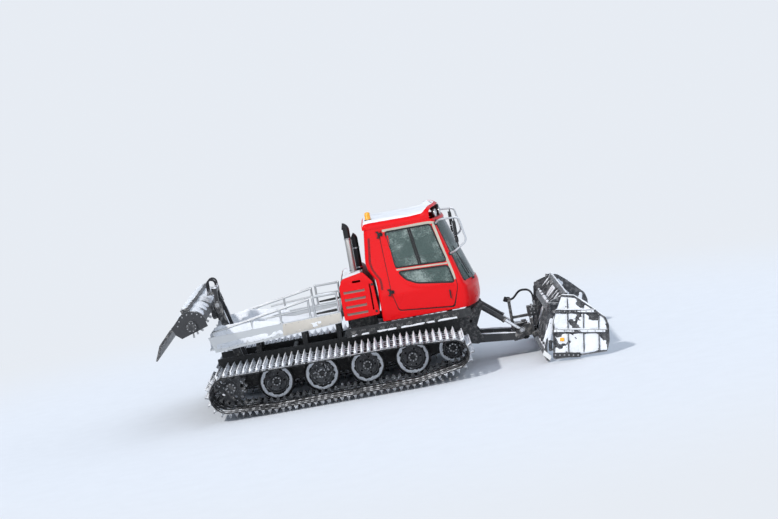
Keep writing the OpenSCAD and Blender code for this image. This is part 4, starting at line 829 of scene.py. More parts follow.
@dataclass
class Studio:
    """The camera at the photograph's angle, a pale floor and soft light."""

    aim: tuple = (0.371, -1.15, 2.118)
    distance: float = 40.0
    azimuth: float = 0.6
    elevation: float = 5.0
    roll: float = 10.2
    view_angle: float = 18.6
    floor_z: float = -0.002
    pale: tuple = (0.80, 0.84, 0.90)

    def camera(self) -> None:
        """Makes the camera: it looks at aim from distance, turned about its own axis by roll."""
        a, e = math.radians(self.azimuth), math.radians(self.elevation)
        back = Vector((math.sin(a) * math.cos(e), -math.cos(a) * math.cos(e), math.sin(e)))
        data = bpy.data.cameras.new("camera")
        data.sensor_width = 36.0
        data.lens = 18.0 / math.tan(math.radians(self.view_angle) / 2)
        data.clip_start, data.clip_end = 1.0, 400.0
        cam = new_object("camera", data)
        spin = Quaternion((0, 0, 1), math.radians(-self.roll))
        cam.rotation_mode = "QUATERNION"
        cam.rotation_quaternion = (-back).to_track_quat("-Z", "Y") @ spin
        cam.location = Vector(self.aim) + back * self.distance
        bpy.context.scene.camera = cam

    def floor(self) -> None:
        """A pale disc under the machine that fades into the background's colour."""
        rows = np.stack([np.c_[circle(r, 96), np.full(96, self.floor_z)] for r in (0.01, 6.0, 20.0, 60.0)])
        mesh = new_mesh("floor", grid(rows, caps=False))
        mesh.flip_normals()
        material, net, shader, place = new_material("floor")
        far = net.ramp(net.add("VectorMath", {0: place}, operation="LENGTH").outputs["Value"], 6.0, 16.0)
        grain = net.noise(place, 3.0, 5.0)
        relief = net.add("Bump", {"Strength": 0.3, "Distance": 0.02, "Height": grain}).outputs[0]
        for name, value in (("Base Color", net.mix(grain, rgba([c * 0.93 for c in self.pale]),
                                                   rgba(self.pale))),
                            ("Roughness", 0.9), ("Normal", relief)):
            net.drive(shader.inputs[name], value)
        glow = net.add("Emission", {"Color": rgba(self.pale), "Strength": 1.0})
        rays = net.add("LightPath")
        seen = net.math("MAXIMUM", rays.outputs["Is Camera Ray"], net.math(
            "MAXIMUM", rays.outputs["Is Glossy Ray"], rays.outputs["Is Transmission Ray"]))
        mixed = net.add("MixShader", {0: net.math("MULTIPLY", far, seen), 1: shader.outputs[0],
                                      2: glow.outputs[0]})
        net.drive(net.tree.nodes["Material Output"].inputs["Surface"], mixed.outputs[0])
        mesh.materials.append(material)
        obj = new_object("floor", mesh)

    def lights(self) -> None:
        """A soft sun from behind the camera, a weaker fill, and an even sky."""
        for name, direction, strength, angle, colour in (
                ("key", (-0.75, -1.0, 1.0), 2.35, 3.0, (1.0, 0.965, 0.92)),
                ("low", (0.25, -1.0, 0.12), 0.6, 50.0, (0.90, 0.95, 1.0)),
                ("fill", (0.9, 0.5, 0.8), 0.6, 60.0, (0.85, 0.92, 1.0))):
            light = bpy.data.lights.new(name, "SUN")
            light.energy, light.angle, light.color = strength, math.radians(angle), colour
            obj = new_object(name, light)
            obj.rotation_mode = "QUATERNION"
            obj.rotation_quaternion = Vector(direction).to_track_quat("Z", "Y")
        world = bpy.data.worlds.new("sky")
        bpy.context.scene.world = world
        world.use_nodes = True
        net = Net(world.node_tree)
        rays = net.add("LightPath")
        seen = net.math("MAXIMUM", rays.outputs["Is Camera Ray"], rays.outputs["Is Transmission Ray"])
        sky = net.tree.nodes["Background"]
        sky.inputs["Color"].default_value = (0.72, 0.80, 0.92, 1.0)
        sky.inputs["Strength"].default_value = 0.62
        plain = net.add("Background", {"Color": rgba(self.pale), "Strength": 1.0})
        mixed = net.add("MixShader", {0: seen, 1: sky.outputs[0], 2: plain.outputs[0]})
        net.drive(net.tree.nodes["World Output"].inputs["Surface"], mixed.outputs[0])

    def build(self) -> None:
        """Makes the whole studio."""
        self.camera()
        self.floor()
        self.lights()
        bpy.context.scene.view_settings.view_transform = "Standard"


# ---------------------------------------------------------------- running gear


@dataclass
class RunningGear:
    """Wheels, sprockets and tracks."""

    wheel_x: tuple = (0.475, -0.305, -1.085, -1.865)
    wheel_z: float = 0.4153
    tyre_r: float = 0.310
    wheel_y: float = 1.05
    tyre_w: float = 0.20
    rim_r: float = 0.190
    side_wall: float = 0.070
    idler: tuple = (1.174, 0.452, 0.225)
    sprocket: tuple = (-2.645, 0.445, 0.285)
    touch: float = 0.0003
    belt_t: float = 0.020
    bar_n: int = 84
    horn_y: tuple = (0.925, 1.175)
    belts: tuple = ((0.712, 0.85), (0.962, 1.138), (1.25, 1.39), (1.52, 1.66), (1.78, 1.90), (1.985, 2.07))

    def circles(self) -> Array:
        """The circles that the track's inside runs round: [x, z, radius]."""
        w, t = self.wheel_z, self.touch
        return np.array([[self.sprocket[0], self.sprocket[1], self.sprocket[2] + t],
                         [self.wheel_x[3], w, self.tyre_r + t], [self.wheel_x[0], w, self.tyre_r + t],
                         [self.idler[0], self.idler[1], self.idler[2] + t],
                         [self.wheel_x[0], w, self.tyre_r + t]])

    def loop(self, s: Array) -> tuple:
        """Places along the track's inside, worked out for a whole array at once.

        Arcs and straight runs follow each other. On an arc the outward angle grows by length
        over radius, and on a run it stays while the place moves across it.

        Args:
            s: distances along the loop, any number of laps.
        Returns:
            ((n, 2) places, (n,) outward angles, the loop's length).
        """
        c = self.circles()
        d = np.roll(c, -1, 0) - c
        step = np.hypot(d[:, 0], d[:, 1])
        fall = c[:, 2] - np.roll(c[:, 2], -1)
        normal = np.arctan2(d[:, 1], d[:, 0]) - np.pi / 2 + np.arcsin(fall / step)
        start = np.roll(normal, 1)
        turn = (normal - start) % (2 * np.pi)
        arc, run = c[:, 2] * turn, np.sqrt(step ** 2 - fall ** 2)
        ends = np.cumsum(np.stack([arc, run], -1).ravel())
        s = np.asarray(s, float) % ends[-1]
        part = np.minimum(np.searchsorted(ends, s, side="right"), len(ends) - 1)
        k, on_run = part // 2, part % 2 == 1
        local = s - np.where(part > 0, ends[part - 1], 0.0)
        angle = np.where(on_run, normal[k], start[k] + local / c[k, 2])
        ahead = np.where(on_run, local, 0.0)
        x = c[k, 0] + c[k, 2] * np.cos(angle) - ahead * np.sin(angle)
        z = c[k, 1] + c[k, 2] * np.sin(angle) + ahead * np.cos(angle)
        return np.stack([x, z], -1), angle, float(ends[-1])

    def frames(self) -> tuple:
        """Each cross bar's place and its own axes: along the track, to the left, and outwards."""
        length = self.loop(np.zeros(1))[2]
        p, a, _ = self.loop(np.arange(self.bar_n) * length / self.bar_n)
        along, outward = xyz(-np.sin(a), 0.0, np.cos(a)), xyz(np.cos(a), 0.0, np.sin(a))
        across = np.broadcast_to([0.0, 1.0, 0.0], along.shape)
        return xyz(p[:, 0], 0.0, p[:, 1]), np.stack([along, across, outward], -1)

    def belt_shape(self) -> Shape:
        """The rubber belts: a flat section with rounded edges, carried round the loop."""
        length = self.loop(np.zeros(1))[2]
        p, a, _ = self.loop(np.linspace(0, length, 4 * self.bar_n, endpoint=False))
        out, base = xyz(np.cos(a), 0.0, np.sin(a)), xyz(p[:, 0], 0.0, p[:, 1])
        t = self.belt_t
        shapes = []
        for y0, y1 in self.belts:
            sec = np.array([[y0, 0.004], [y0 + 0.005, 0.0], [y1 - 0.005, 0.0], [y1, 0.004],
                            [y1, t - 0.004], [y1 - 0.005, t], [y0 + 0.005, t], [y0, t - 0.004]])
            pts = base[:, None] + out[:, None] * sec[None, :, 1:] - np.array([0, 1.0, 0]) * sec[None, :, :1]
            shapes.append(facing_out(grid(pts, wrap_u=True)))
        return join(shapes)

    def bar_shape(self) -> Shape:
        """One cross bar of the right track: foot, web and ridge, lower at both ends.

        The section is [along the track, outwards], and each station scales its height over the foot.
        """
        foot = 0.027
        half = np.array([[0.032, 0.019], [0.032, 0.027], [0.012, 0.036], [0.008, 0.078], [0.012, 0.084],
                         [0.0115, 0.097], [0.004, 0.105]])
        sec = np.concatenate([half, half[::-1] * [-1, 1]])
        y = np.array([0.700, 0.745, 0.79, 1.39, 1.99, 2.035, 2.080])
        k = np.array([0.30, 0.62, 1.0, 1.0, 1.0, 0.62, 0.30])
        h = foot + (sec[None, :, 1] - foot) * np.where(sec[None, :, 1] > foot, k[:, None], 1.0)
        return facing_out(grid(xyz(sec[None, :, 0], y[:, None], h))).mirrored()

    def horn_shape(self) -> Shape:
        """A guide horn on the inside of the track, a blunt wedge beside the tyre."""
        ring = np.array([[-1, -1], [1, -1], [1, 1], [-1, 1]], float)
        return stacked([(ring * half, z) for half, z in (((0.036, 0.016), 0.004), ((0.034, 0.014), -0.006),
                                                         ((0.020, 0.008), -0.040), ((0.010, 0.004), -0.058))])

    def tracks(self) -> None:
        """Belts, bars, plates, bolts, horns, spikes and packed snow of both tracks."""
        at, own = self.frames()
        bars = facing_out(copies(self.bar_shape(), at, own))
        horn = self.horn_shape()
        horns = join([facing_out(copies(horn.moved((0, -y, 0)), at, own)) for y in self.horn_y])
        plates = []
        for y0, y1 in self.belts[:1] + self.belts[2:]:
            plate = box((-0.030, -y1 + 0.012, -0.005), (0.030, -y0 - 0.012, 0.0025))
            plates.append(facing_out(copies(plate, at, own)))
        heads = []
        head = stacked([(circle(r, 6), z) for r, z in ((0.010, 0.0), (0.010, 0.007), (0.008, 0.009))])
        for y0, y1 in self.belts:
            for y in (y0 + 0.03, y1 - 0.03):
                for side in (-1, 1):
                    spot = np.einsum("kij,j->ki", own, np.array([side * 0.022, -y, 0.0265]))
                    heads.append(copies(head, at + spot, own))
        spike = stacked([(circle(r, 4), z) for r, z in ((0.012, 0.092), (0.010, 0.100), (0.003, 0.1049))])
        spikes = [copies(spike.moved((0, -y, 0)), at, own) for y in np.linspace(0.86, 1.92, 5)]
        polar = np.linspace(0.01, np.pi - 0.01, 5)
        ball = lathe(np.stack([np.sin(polar), -np.cos(polar)], -1), (0, 0, 0), (0, 0, 1), 7)
        clods = []
        for row, y in enumerate((1.985, 1.88, 1.70, 1.50, 1.30, 1.10, 0.90)):
            usual = np.array([0.030, 0.062 if row == 0 else 0.105, 0.044])
            size = usual * (0.80 + 0.36 * wobble(at, 11.0, row * 3.0))[:, None]
            size[:, 2] = np.clip(size[:, 2], 0.02, 0.052)
            spot = np.einsum("kij,kj->ki", own, xyz(0.010 * wobble(at, 17.0, row), -y, 0.046))
            clods.append(facing_out(copies(ball, at + spot, own * size[:, None, :])))
        belts = self.belt_shape()
        for side in SIDES:
            node = f"track_{side}"
            piece(f"bar_snow_{side}", join(clods).on(side), SNOW, "chassis", angle=80)
            piece(f"track_belts_{side}", belts.on(side), BELT, "chassis", replaces=[node])
            piece(f"cross_bars_{side}", bars.on(side), BAR_ALLOY, "chassis", angle=40)
            piece(f"guide_horns_{side}", join([horns, *plates]).on(side), WHEEL_GREY, "chassis", angle=30)
            piece(f"bar_bolts_{side}", join(heads).on(side), STEEL, "chassis", angle=30)
            piece(f"ice_spikes_{side}", join(spikes).on(side), STEEL, "chassis", angle=30)

    def rim_of(self, r: float) -> float:
        """The rim's radius in a tyre of radius r."""
        return min(self.rim_r, r - self.side_wall)

    def tyre_shape(self, x: float, z: float, r: float) -> Shape:
        """A tyre with a rounded crown, shoulder lugs and a bead.

        The section follows a rounded box: across is w sign(c)|c|^0.55 and outward is sign(s)|s|^0.6
        over a full turn, and the tread's grooves lower the crown by 7 mm in a zigzag.
        """
        n = 96
        w, inner = self.tyre_w / 2, self.rim_of(r)
        t = np.linspace(0, 2 * np.pi, 30, endpoint=False)
        c, s = np.cos(t), np.sin(t)
        across = w * np.sign(c) * np.abs(c) ** 0.55
        mid, half = (r + inner) / 2, (r - inner) / 2
        radius = mid + half * np.sign(s) * np.abs(s) ** 0.6
        u = np.linspace(0, 2 * np.pi, n, endpoint=False)[:, None]
        crown = np.clip((radius - (r - 0.02)) / 0.018, 0, 1)[None]
        zigzag = np.sin(u * 24 + 9 * across[None] / w * np.sign(across[None])) > 0.25
        shoulder = (np.abs(across[None]) > 0.45 * w) | (np.abs(across[None]) < 0.12 * w)
        ripple = -0.007 * crown * (zigzag & shoulder)
        return lathe(np.stack([radius, across], -1), (x, -self.wheel_y, z), (0, 1, 0), n, ripple)

    def snow_ring(self, x: float, z: float, r: float, seed: float) -> Shape:
        """Snow packed round the rim on a tyre's outer side: a lumpy ring."""
        n = 72
        t = np.linspace(0, 2 * np.pi, 10, endpoint=False)
        profile = np.stack([r + 0.026 * np.cos(t), -0.096 + 0.014 * np.sin(t)], -1)
        spot = np.c_[circle(r, n), np.zeros(n)]
        lump = wobble(spot, 26.0, seed) + 0.7 * wobble(spot, 75.0, seed + 5)
        ripple = 0.004 * lump[:, None] + 0.016 * lump[:, None] * np.clip(-np.cos(t), 0, 1)[None]
        return lathe(profile, (x, -self.wheel_y, z), (0, 1, 0), n, ripple)

    def wheels(self) -> None:
        """Tyres, packed snow, rims, hubs and bolts of every wheel."""
        spots = [(x, self.wheel_z, self.tyre_r) for x in self.wheel_x] + [self.idler]
        tyres = both(join([self.tyre_shape(*p) for p in spots]))
        piece("wheel_tyres", tyres, RUBBER, "chassis", replaces=["tyres"], angle=28)
        rings = [self.snow_ring(x, z, self.rim_of(r) + 0.055, i) for i, (x, z, r) in enumerate(spots)]
        piece("wheel_snow", both(join(rings)), SNOW, "chassis", angle=60)
        rims, hubs, heads = [], [], []
        for x, z, r in spots:
            inner, y = self.rim_of(r), -self.wheel_y
            rims.append(lathe([[inner + 0.004, -0.086], [inner + 0.008, -0.093], [inner - 0.002, -0.096],
                               [inner - 0.014, -0.088], [inner - 0.018, -0.060], [inner - 0.008, -0.055]],
                              (x, y, z), (0, 1, 0), 48))
            hubs.append(drum([[CORE, -0.112], [0.030, -0.112], [0.042, -0.106], [0.047, -0.094],
                              [0.047, -0.05]], (x, y, z), (0, 1, 0), 24))
            heads.append(bolts(ring_of((x, y - 0.0845, z), (0, 1, 0), 0.064, 8), (0, -1, 0), 0.009, 0.010))
        piece("wheel_rims", both(join(rims)), WHEEL_GREY, "chassis", angle=40)
        piece("hub_caps", both(join(hubs)), FRAME_BLACK, "chassis", angle=40)
        x, z, _ = self.sprocket
        heads.append(bolts(ring_of((x, -1.222, z), (0, 1, 0), 0.07, 8), (0, -1, 0), 0.011, 0.012))
        piece("wheel_bolts", both(join(heads)), STEEL, "chassis", angle=30)

    def build(self) -> None:
        """Makes the running gear."""
        self.tracks()
        self.wheels()
        repaint(WHEEL_GREY, "wheel_discs", "sprockets")
        repaint(FRAME_BLACK, "swing_arms")


# ---------------------------------------------------------------- cab


@dataclass
class Cab:
    """The cab's skin, doors, glass, roof and inside."""

    nose: float = 1.823
    floor: float = 1.080
    sill: float = 1.500
    top: float = 2.650
    half_sill: float = 1.010
    half_top: float = 0.876
    plan_r: float = 2.080
    rake: float = math.radians(19.0)
    lean: float = math.tan(rake)
    wall: float = 0.045
    gap: float = 0.011
    hinge_x: float = 0.286

    def half(self, z: Array) -> Array:
        """Half the cab's width at a height: two straight slopes that meet at the sill."""
        z = np.asarray(z, float)
        low = self.half_sill - (self.sill - z) * 0.06
        high = self.half_sill - (z - self.sill) * (self.half_sill - self.half_top) / (self.top - self.sill)
        return np.where(z < self.sill, low, high)

    def rear_x(self, z: Array) -> Array:
        """Where the rear wall stands at a height: upright below, and leaning over the window."""
        return np.interp(z, [1.08, 1.72, 1.80, 1.90, 1.98, 2.099, 2.65],
                         [0.09, 0.09, 0.082, 0.022, -0.018, -0.04, 0.028])

    def screen_x(self, y: Array, z: Array, back: float) -> Array:
        """Where the curved, leaning windscreen stands, moved back from the nose."""
        sag = self.plan_r - np.sqrt(self.plan_r * self.plan_r - y * y)
        return self.nose - back - (z - self.sill) * self.lean - sag / math.cos(self.rake)

    def loft(self, d: float) -> Shape:
        """The cab's body as one closed solid, moved in by d.

        A level's outline runs round from the rear's middle: rear wall, rear corner, side, front
        corner, and the front as an arc of the plan radius. Corners are arcs tangent to both.
        """
        z = np.concatenate([[self.floor + d], self.floor + d + np.array([0.012, 0.04, 0.09, 0.16]),
                            np.linspace(1.30, 1.44, 4), np.linspace(1.50, 2.60 - d, 24), [self.top - 0.001]])
        rear = self.rear_x(z) + d
        front = np.minimum(self.nose, self.nose - 0.020 - (z - self.sill) * self.lean) - d
        tuck = np.clip((1.26 - z) / 0.18, 0, 1) ** 2 * 0.045
        front = front - tuck
        w = self.half(z) - d - tuck * 0.35
        r_rear = 0.055 - d * 0.6
        r_front = np.interp(z, [1.08, 1.44, 1.60, 2.65], [0.13, 0.12, 0.05, 0.04]) - d * 0.5
        big = np.where(z <= 1.442, self.plan_r, 1.978) - d
        c0 = front - big
        fx = c0 + np.sqrt((big - r_front) ** 2 - (w - r_front) ** 2)
        alpha = np.arctan2(w - r_front, fx - c0)

        def blend(a: Array, b: Array, t: Array) -> Array:
            """Values from a to b along t, one row for each level."""
            return a[:, None] * (1 - t[None]) + b[:, None] * t[None]

        wall, corner, side = (np.linspace(0, 1, k, endpoint=False) for k in (5, 7, 34))
        q = corner * np.pi / 2
        xs = [blend(rear, rear, wall), (rear + r_rear)[:, None] - r_rear * np.cos(q)[None],
              blend(rear + r_rear, fx, side)]
        ys = [blend(0 * w, w - r_rear, wall), (w - r_rear)[:, None] + r_rear * np.sin(q)[None],
              blend(w, w, side)]
        turn = blend(np.full_like(alpha, np.pi / 2), alpha, corner)
        xs.append(fx[:, None] + r_front[:, None] * np.cos(turn))
        ys.append((w - r_front)[:, None] + r_front[:, None] * np.sin(turn))
        sweep_angle = blend(alpha, 0 * alpha, np.linspace(0, 1, 13))
        xs.append(c0[:, None] + big[:, None] * np.cos(sweep_angle))
        ys.append(big[:, None] * np.sin(sweep_angle))
        x, y = np.concatenate(xs, 1), np.concatenate(ys, 1)
        x, y = np.concatenate([x, x[:, -2:0:-1]], 1), np.concatenate([y, -y[:, -2:0:-1]], 1)
        return facing_out(grid(xyz(x, y, z[:, None])))

    def door_line(self, g: float) -> Array:
        """The door's outline in side view, moved in by g, with round corners."""
        h = self.hinge_x
        return rounded([[h + 0.020 + g, 1.552], [h - 0.016 + g, 2.541], [h + 0.040 + g, 2.614 - g],
                        [1.190 - g, 2.614 - g], [1.432 - g, 1.600], [1.440 - g, 1.450],
                        [1.335 - 1.7 * g, 1.110 + 2.4 * g], [h + 0.095 + g, 1.212 + 1.7 * g]], 0.05, 5)

    def upper_line(self, g: float) -> Array:
        """The upper pane's outline, moved in by g."""
        return rounded([[0.372 + g, 2.570 - g], [1.160 - g, 2.570 - g], [1.322 - g, 1.905 + g],
                        [0.446 + g, 1.940 + g]], 0.05 - g, 5)

    def lower_line(self, g: float) -> Array:
        """The lower pane's outline, moved in by g: its lower rear edge is one long curve."""
        return rounded([[0.478 + g, 1.872 - g], [1.335 - g, 1.836 - g], [1.398 - g, 1.530 + g],
                        [0.760 + g, 1.625 + g], [0.580 + g, 1.722 + g]], 0.06, 6)

    def on_side(self, outline: Array, out: float) -> Array:
        """Outline points laid on the right side's surface, moved out by a distance."""
        return xyz(outline[:, 0], -(self.half(outline[:, 1]) + out), outline[:, 1])

    def along_side(self, corners: Sequence[Sequence[float]], n: int, out: float) -> Array:
        """A smooth curve through [x, z] corners, laid on the right side's surface."""
        return self.on_side(smooth_path([[x, 0, z] for x, z in corners], n)[:, [0, 2]], out)

    def skin(self) -> None:
        """The shell with its openings, and both doors with theirs."""
        hollow = carve(self.loft(0.0), [self.loft(self.wall)])
        lo, hi, pillar = self.sill + 0.025, self.top - 0.045, 0.078
        w_lo, w_hi = float(self.half(lo)) - pillar, float(self.half(hi)) - pillar
        screen = rounded([[w_lo, lo], [w_hi, hi], [-w_hi, hi], [-w_lo, lo]], 0.05, 5)
        back = rounded([[0.70, 2.16], [0.64, 2.56], [-0.64, 2.56], [-0.70, 2.16]], 0.05, 5)

        def through(outline: Array) -> Shape:
            """A side outline as a block through the right side's wall."""
            return slab(outline, -1.3, -0.7)

        door_hole = through(self.door_line(0.0))
        shell = carve(hollow, [door_hole, door_hole.mirrored(), cross_slab(screen, 0.9, 2.2),
                               cross_slab(back, -0.4, 0.3)])
        panes = [through(self.upper_line(0.0)), through(self.lower_line(0.0))]
        door = carve(hollow, panes, keep=through(self.door_line(self.gap)))
        piece("cab_skin", shell, RED, "chassis", replaces=["cab_shell"], angle=24)
        for side in SIDES:
            node = f"door_{side}"
            piece(f"door_skin_{side}", door.on(side), RED, node, replaces=[node], angle=24)
        self.seals(screen, back)

    def seals(self, screen: Array, back: Array) -> None:
        """Rubber round panes and doors, the sliding pane's divider, door frames, handles and folds."""
        bead = np.array([[-0.013, -0.004], [0.013, -0.004], [0.013, 0.003], [0.007, 0.008], [-0.007, 0.008],
                         [-0.013, 0.003]])
        rings = [sweep(self.on_side(line, 0.0), bead, (0, 1, 0), wrap=True)
                 for line in (self.upper_line(0.004), self.lower_line(0.004))]
        for k in (-0.016, 0.016):
            split = np.array([[0.784 + k, 2.560], [0.871 + k, 1.925]])
            rings.append(sweep(self.on_side(split, 0.0), bead, (0, 1, 0)))
        seam = sweep(self.on_side(self.door_line(0.004), -0.010), bead * 0.55, (0, 1, 0), wrap=True)
        top = [[0.335, 2.592], [0.60, 2.592], [1.165, 2.592], [1.215, 2.50], [1.30, 2.10], [1.385, 1.72],
               [1.405, 1.58]]
        band = np.array([[-0.022, -0.003], [0.022, -0.003], [0.022, 0.003], [0.016, 0.006], [-0.016, 0.006],
                         [-0.022, 0.003]])
        bar = [[0.455, 1.906], [0.9, 1.888], [1.325, 1.870]]
        trim = [sweep(self.along_side(top, 40, 0.001), band, (0, 1, 0)),
                sweep(self.along_side(bar, 12, 0.001), band * [0.62, 1], (0, 1, 0))]
        grip_x, out = 1.29, 0.024
        grip = [rod((grip_x, -self.half(z) - out, z), (grip_x, -self.half(z) + 0.004, z), 0.009)
                for z in (1.41, 1.29)]
        grip.append(rod((grip_x, -float(self.half(1.42)) - out, 1.425),
                        (grip_x, -float(self.half(1.28)) - out, 1.275), 0.011, lip=0.004))
        swage = [[0.40, 2.50], [0.402, 2.20], [0.43, 1.95], [0.50, 1.76], [0.62, 1.62], [0.80, 1.545],
                 [1.05, 1.515], [1.37, 1.50]]
        crease = np.stack([np.linspace(-0.02, 0.02, 9),
                           0.0045 * np.cos(np.linspace(-np.pi / 2, np.pi / 2, 9))], -1)
        crease = np.concatenate([crease, crease[::-1] * [1, 0] - [0, 0.004]])
        fold = sweep(self.along_side(swage, 60, 0.0), crease, (0, 1, 0))
        for side in SIDES:
            body = f"door_{side}"
            piece(f"window_seals_{side}", join(rings).on(side), SEAL, body, angle=40)
            piece(f"door_seal_{side}", seam.on(side), SEAL, "chassis", angle=40)
            piece(f"door_frame_{side}", join(trim).on(side), ICED, body, angle=40)
            piece(f"door_handle_{side}", join(grip).on(side), TRIM, body, angle=40)
            piece(f"door_fold_{side}", fold.on(side), RED, body, angle=50)
            self.hinges(side)
        front = xyz(self.screen_x(screen[:, 0], screen[:, 1], 0.028) + 0.002, screen[:, 0], screen[:, 1])
        rear = xyz(self.rear_x(back[:, 1]) + 0.001, back[:, 0], back[:, 1])
        glazing = join([sweep(front, bead * 1.3, (1, 0, 0), wrap=True),
                        sweep(rear, bead, (1, 0, 0), wrap=True)])
        piece("screen_seals", glazing, SEAL, "chassis", angle=40)

    def hinges(self, side: str) -> None:
        """Door hinges: knuckles on the door between those on the shell, on the hinge line."""
        lo = np.array([self.hinge_x, -float(self.half(1.552)) - 0.026, 1.552])
        hi = np.array([self.hinge_x - 0.027, -float(self.half(2.541)) - 0.026, 2.541])
        d = unit(hi - lo)
        moving, fixed = [], []
        for p in (lo, hi):
            moving.append(rod(p - d * 0.034, p + d * 0.034, 0.015, 20, 0.002))
            moving.append(box(p + [-0.003, 0.004, -0.028], p + [0.060, 0.020, 0.028]))
            moving.append(box(p + [0.044, 0.004, -0.028], p + [0.072, 0.030, 0.028]))
            for e in (-1, 1):
                c = p + d * e * 0.048
                fixed.append(rod(c - d * 0.012, c + d * 0.012, 0.015, 20, 0.002))
                fixed.append(box(c + [-0.034, 0.004, -0.010], c + [0.002, 0.030, 0.010]))
        piece(f"door_knuckles_{side}", join(moving).on(side), TRIM, f"door_{side}", bevel=0.002)
        piece(f"hinge_brackets_{side}", join(fixed).on(side), TRIM, "chassis", bevel=0.0015)

    def bow(self, x: Array, y: Array) -> Array:
        """How far the roof bows back at x and y: a circle's sag, which fades in towards the front."""
        return (self.plan_r - np.sqrt(self.plan_r ** 2 - y ** 2)) * np.clip((x - 0.6) / 0.7, 0, 1)

    def roof(self) -> None:
        """The roof cap with its raised visor, and the snow on it.

        A section at x is [y, z]: half width times sign(c)|c|^0.22 across and a height times
        |s|^0.5 over a half turn, on a flat underside. The snow follows the same form.
        """
        x = np.concatenate([np.linspace(0.003, 0.08, 6), np.linspace(0.14, 1.18, 14),
                            np.linspace(1.22, 1.352, 10)])
        tops = np.interp(x, [0.003, 0.03, 0.10, 0.9, 1.20, 1.27, 1.31, 1.352],
                         [0.085, 0.115, 0.135, 0.128, 0.150, 0.215, 0.226, 0.190])
        half = np.interp(x, [0.003, 0.05, 1.25, 1.352], [0.852, 0.882, 0.882, 0.872])
        t = np.linspace(0, np.pi, 41)
        c, s = np.cos(t), np.sin(t)
        y = half[:, None] * (np.sign(c) * np.abs(c) ** 0.22)[None]
        z = self.top + 0.0005 + tops[:, None] * (np.abs(s) ** 0.5)[None]
        cap = facing_out(grid(xyz(x[:, None] - self.bow(x[:, None], y), y, z)))
        piece("roof_cap", cap, RED, "chassis", replaces=["cab_roof"], angle=38)
        u, v = np.linspace(0.02, 1.30, 54)[:, None], np.linspace(-0.97, 0.97, 60)[None]
        height = np.interp(u, x, tops) * np.clip(1 - np.abs(v) ** (2 / 0.22), 0, 1) ** 0.25
        p = xyz(u - self.bow(u, v * 0.87), v * 0.875, self.top + height)
        edge = np.clip(np.minimum(np.minimum(u - 0.02, 1.30 - u), 0.97 - np.abs(v)) / 0.05, 0, 1)
        lump = 0.010 + 0.016 * (0.5 + 0.5 * wobble(p, 5.0, 2.0)) + 0.006 * wobble(p, 23.0, 5.0)
        upper = p + xyz(0.0, 0.0, lump * np.sqrt(edge) - 0.004 * (1 - edge))
        lower = p - [0, 0, 0.012]
        sheet = np.concatenate([upper, lower[:, ::-1]], 1)
        piece("roof_snow", facing_out(grid(sheet)), SNOW, "chassis", angle=70)

    def build(self) -> None:
        """Makes the cab, and gives its inside and its panes their finishes."""
        self.skin()
        self.roof()
        repaint(SEAT, "seats")
        repaint(CONSOLE, "cab_console", "steering_wheel")
        repaint(Glass(), "windscreen", "rear_window", "door_glass_right", "door_glass_left")


# ---------------------------------------------------------------- shapes that the tools and fittings share


def crust(side: Array, deep: Array, seed: float, thick: float = 0.012, bare: float = 0.35, scale: float = 9.0,
          sink: float = 0.006) -> Shape:
    """Snow stuck on a surface: a sheet that rises over it in patches and dips under it elsewhere.

    The height is thick times (1.5 * noise at three scales + 1 - 2 * bare), held between -sink and
    1.7 * thick, and falls to -sink at the sheet's rim, so each patch ends in a ragged edge.

    Args:
        side: (n, m, 3) places on the surface.
        deep: (3,) or (n, m, 3) direction away from the surface.
        seed: moves the noise.
        thick: usual height of a patch.
        bare: share of the surface left bare, roughly.
        scale: how quickly patches follow each other.
        sink: how far the sheet dips under the surface.
    Returns:
        The closed sheet.
    """
    n, m = side.shape[:2]
    u, v = np.linspace(0, 1, n)[:, None], np.linspace(0, 1, m)[None]
    rim = np.clip(np.minimum(np.minimum(u, 1 - u) * n, np.minimum(v, 1 - v) * m) / 2.0, 0, 1)
    noise = wobble(side, scale, seed) + 0.45 * wobble(side, scale * 3.1, seed + 4)
    noise = noise + 0.2 * wobble(side, scale * 9.0, seed + 9)
    high = np.clip(thick * (noise * 1.5 + 1 - 2 * bare), -sink, 1.7 * thick)
    high = np.where(rim > 0, high * rim - sink * (1 - rim), -sink)
    deep = unit(np.broadcast_to(np.asarray(deep, float), side.shape))
    top = side + deep * high[..., None]
    low = side - deep * (sink + 0.003)
    return facing_out(grid(np.concatenate([top, low[:, ::-1]], 1)))


def ridge(path: Array, width: float, high: float, seed: float, up: Sequence[float] = (0, 0, 1)) -> Shape:
    """A lump of snow lying along a ledge: half an oval whose width and height vary along a path."""
    path = np.asarray(path, float)
    k = 1 + 0.35 * wobble(path, 11.0, seed) + 0.15 * wobble(path, 37.0, seed)
    k = k * np.sin(np.linspace(0.12, np.pi - 0.12, len(path))) ** 0.3
    a = np.linspace(0, np.pi, 9)
    up = unit(np.asarray(up, float))
    side = unit(np.cross(unit(np.gradient(path, axis=0)), up))
    arc = np.concatenate([np.stack([np.cos(a) * width, np.sin(a) * high], -1),
                          [[-width * 0.9, -0.004], [width * 0.9, -0.004]]])
    pts = path[:, None] + k[:, None, None] * (arc[None, :, :1] * side[:, None] + arc[None, :, 1:] * up)
    return facing_out(grid(pts))


def bent(corners: Sequence[Sequence[float]], radius: float, n: int = 7) -> Array:
    """An open path in space with its inner corners rounded off, as a bent tube's middle line."""
    p = np.asarray(corners, float)
    rows = [p[:1]]
    t = np.linspace(0, 1, n)[:, None]
    for a, b, c in zip(p[:-2], p[1:-1], p[2:]):
        s = b + unit(a - b) * min(radius, 0.45 * np.linalg.norm(a - b))
        e = b + unit(c - b) * min(radius, 0.45 * np.linalg.norm(c - b))
        rows.append((1 - t) ** 2 * s + 2 * t * (1 - t) * b + t ** 2 * e)
    rows.append(p[-1:])
    return np.concatenate(rows)


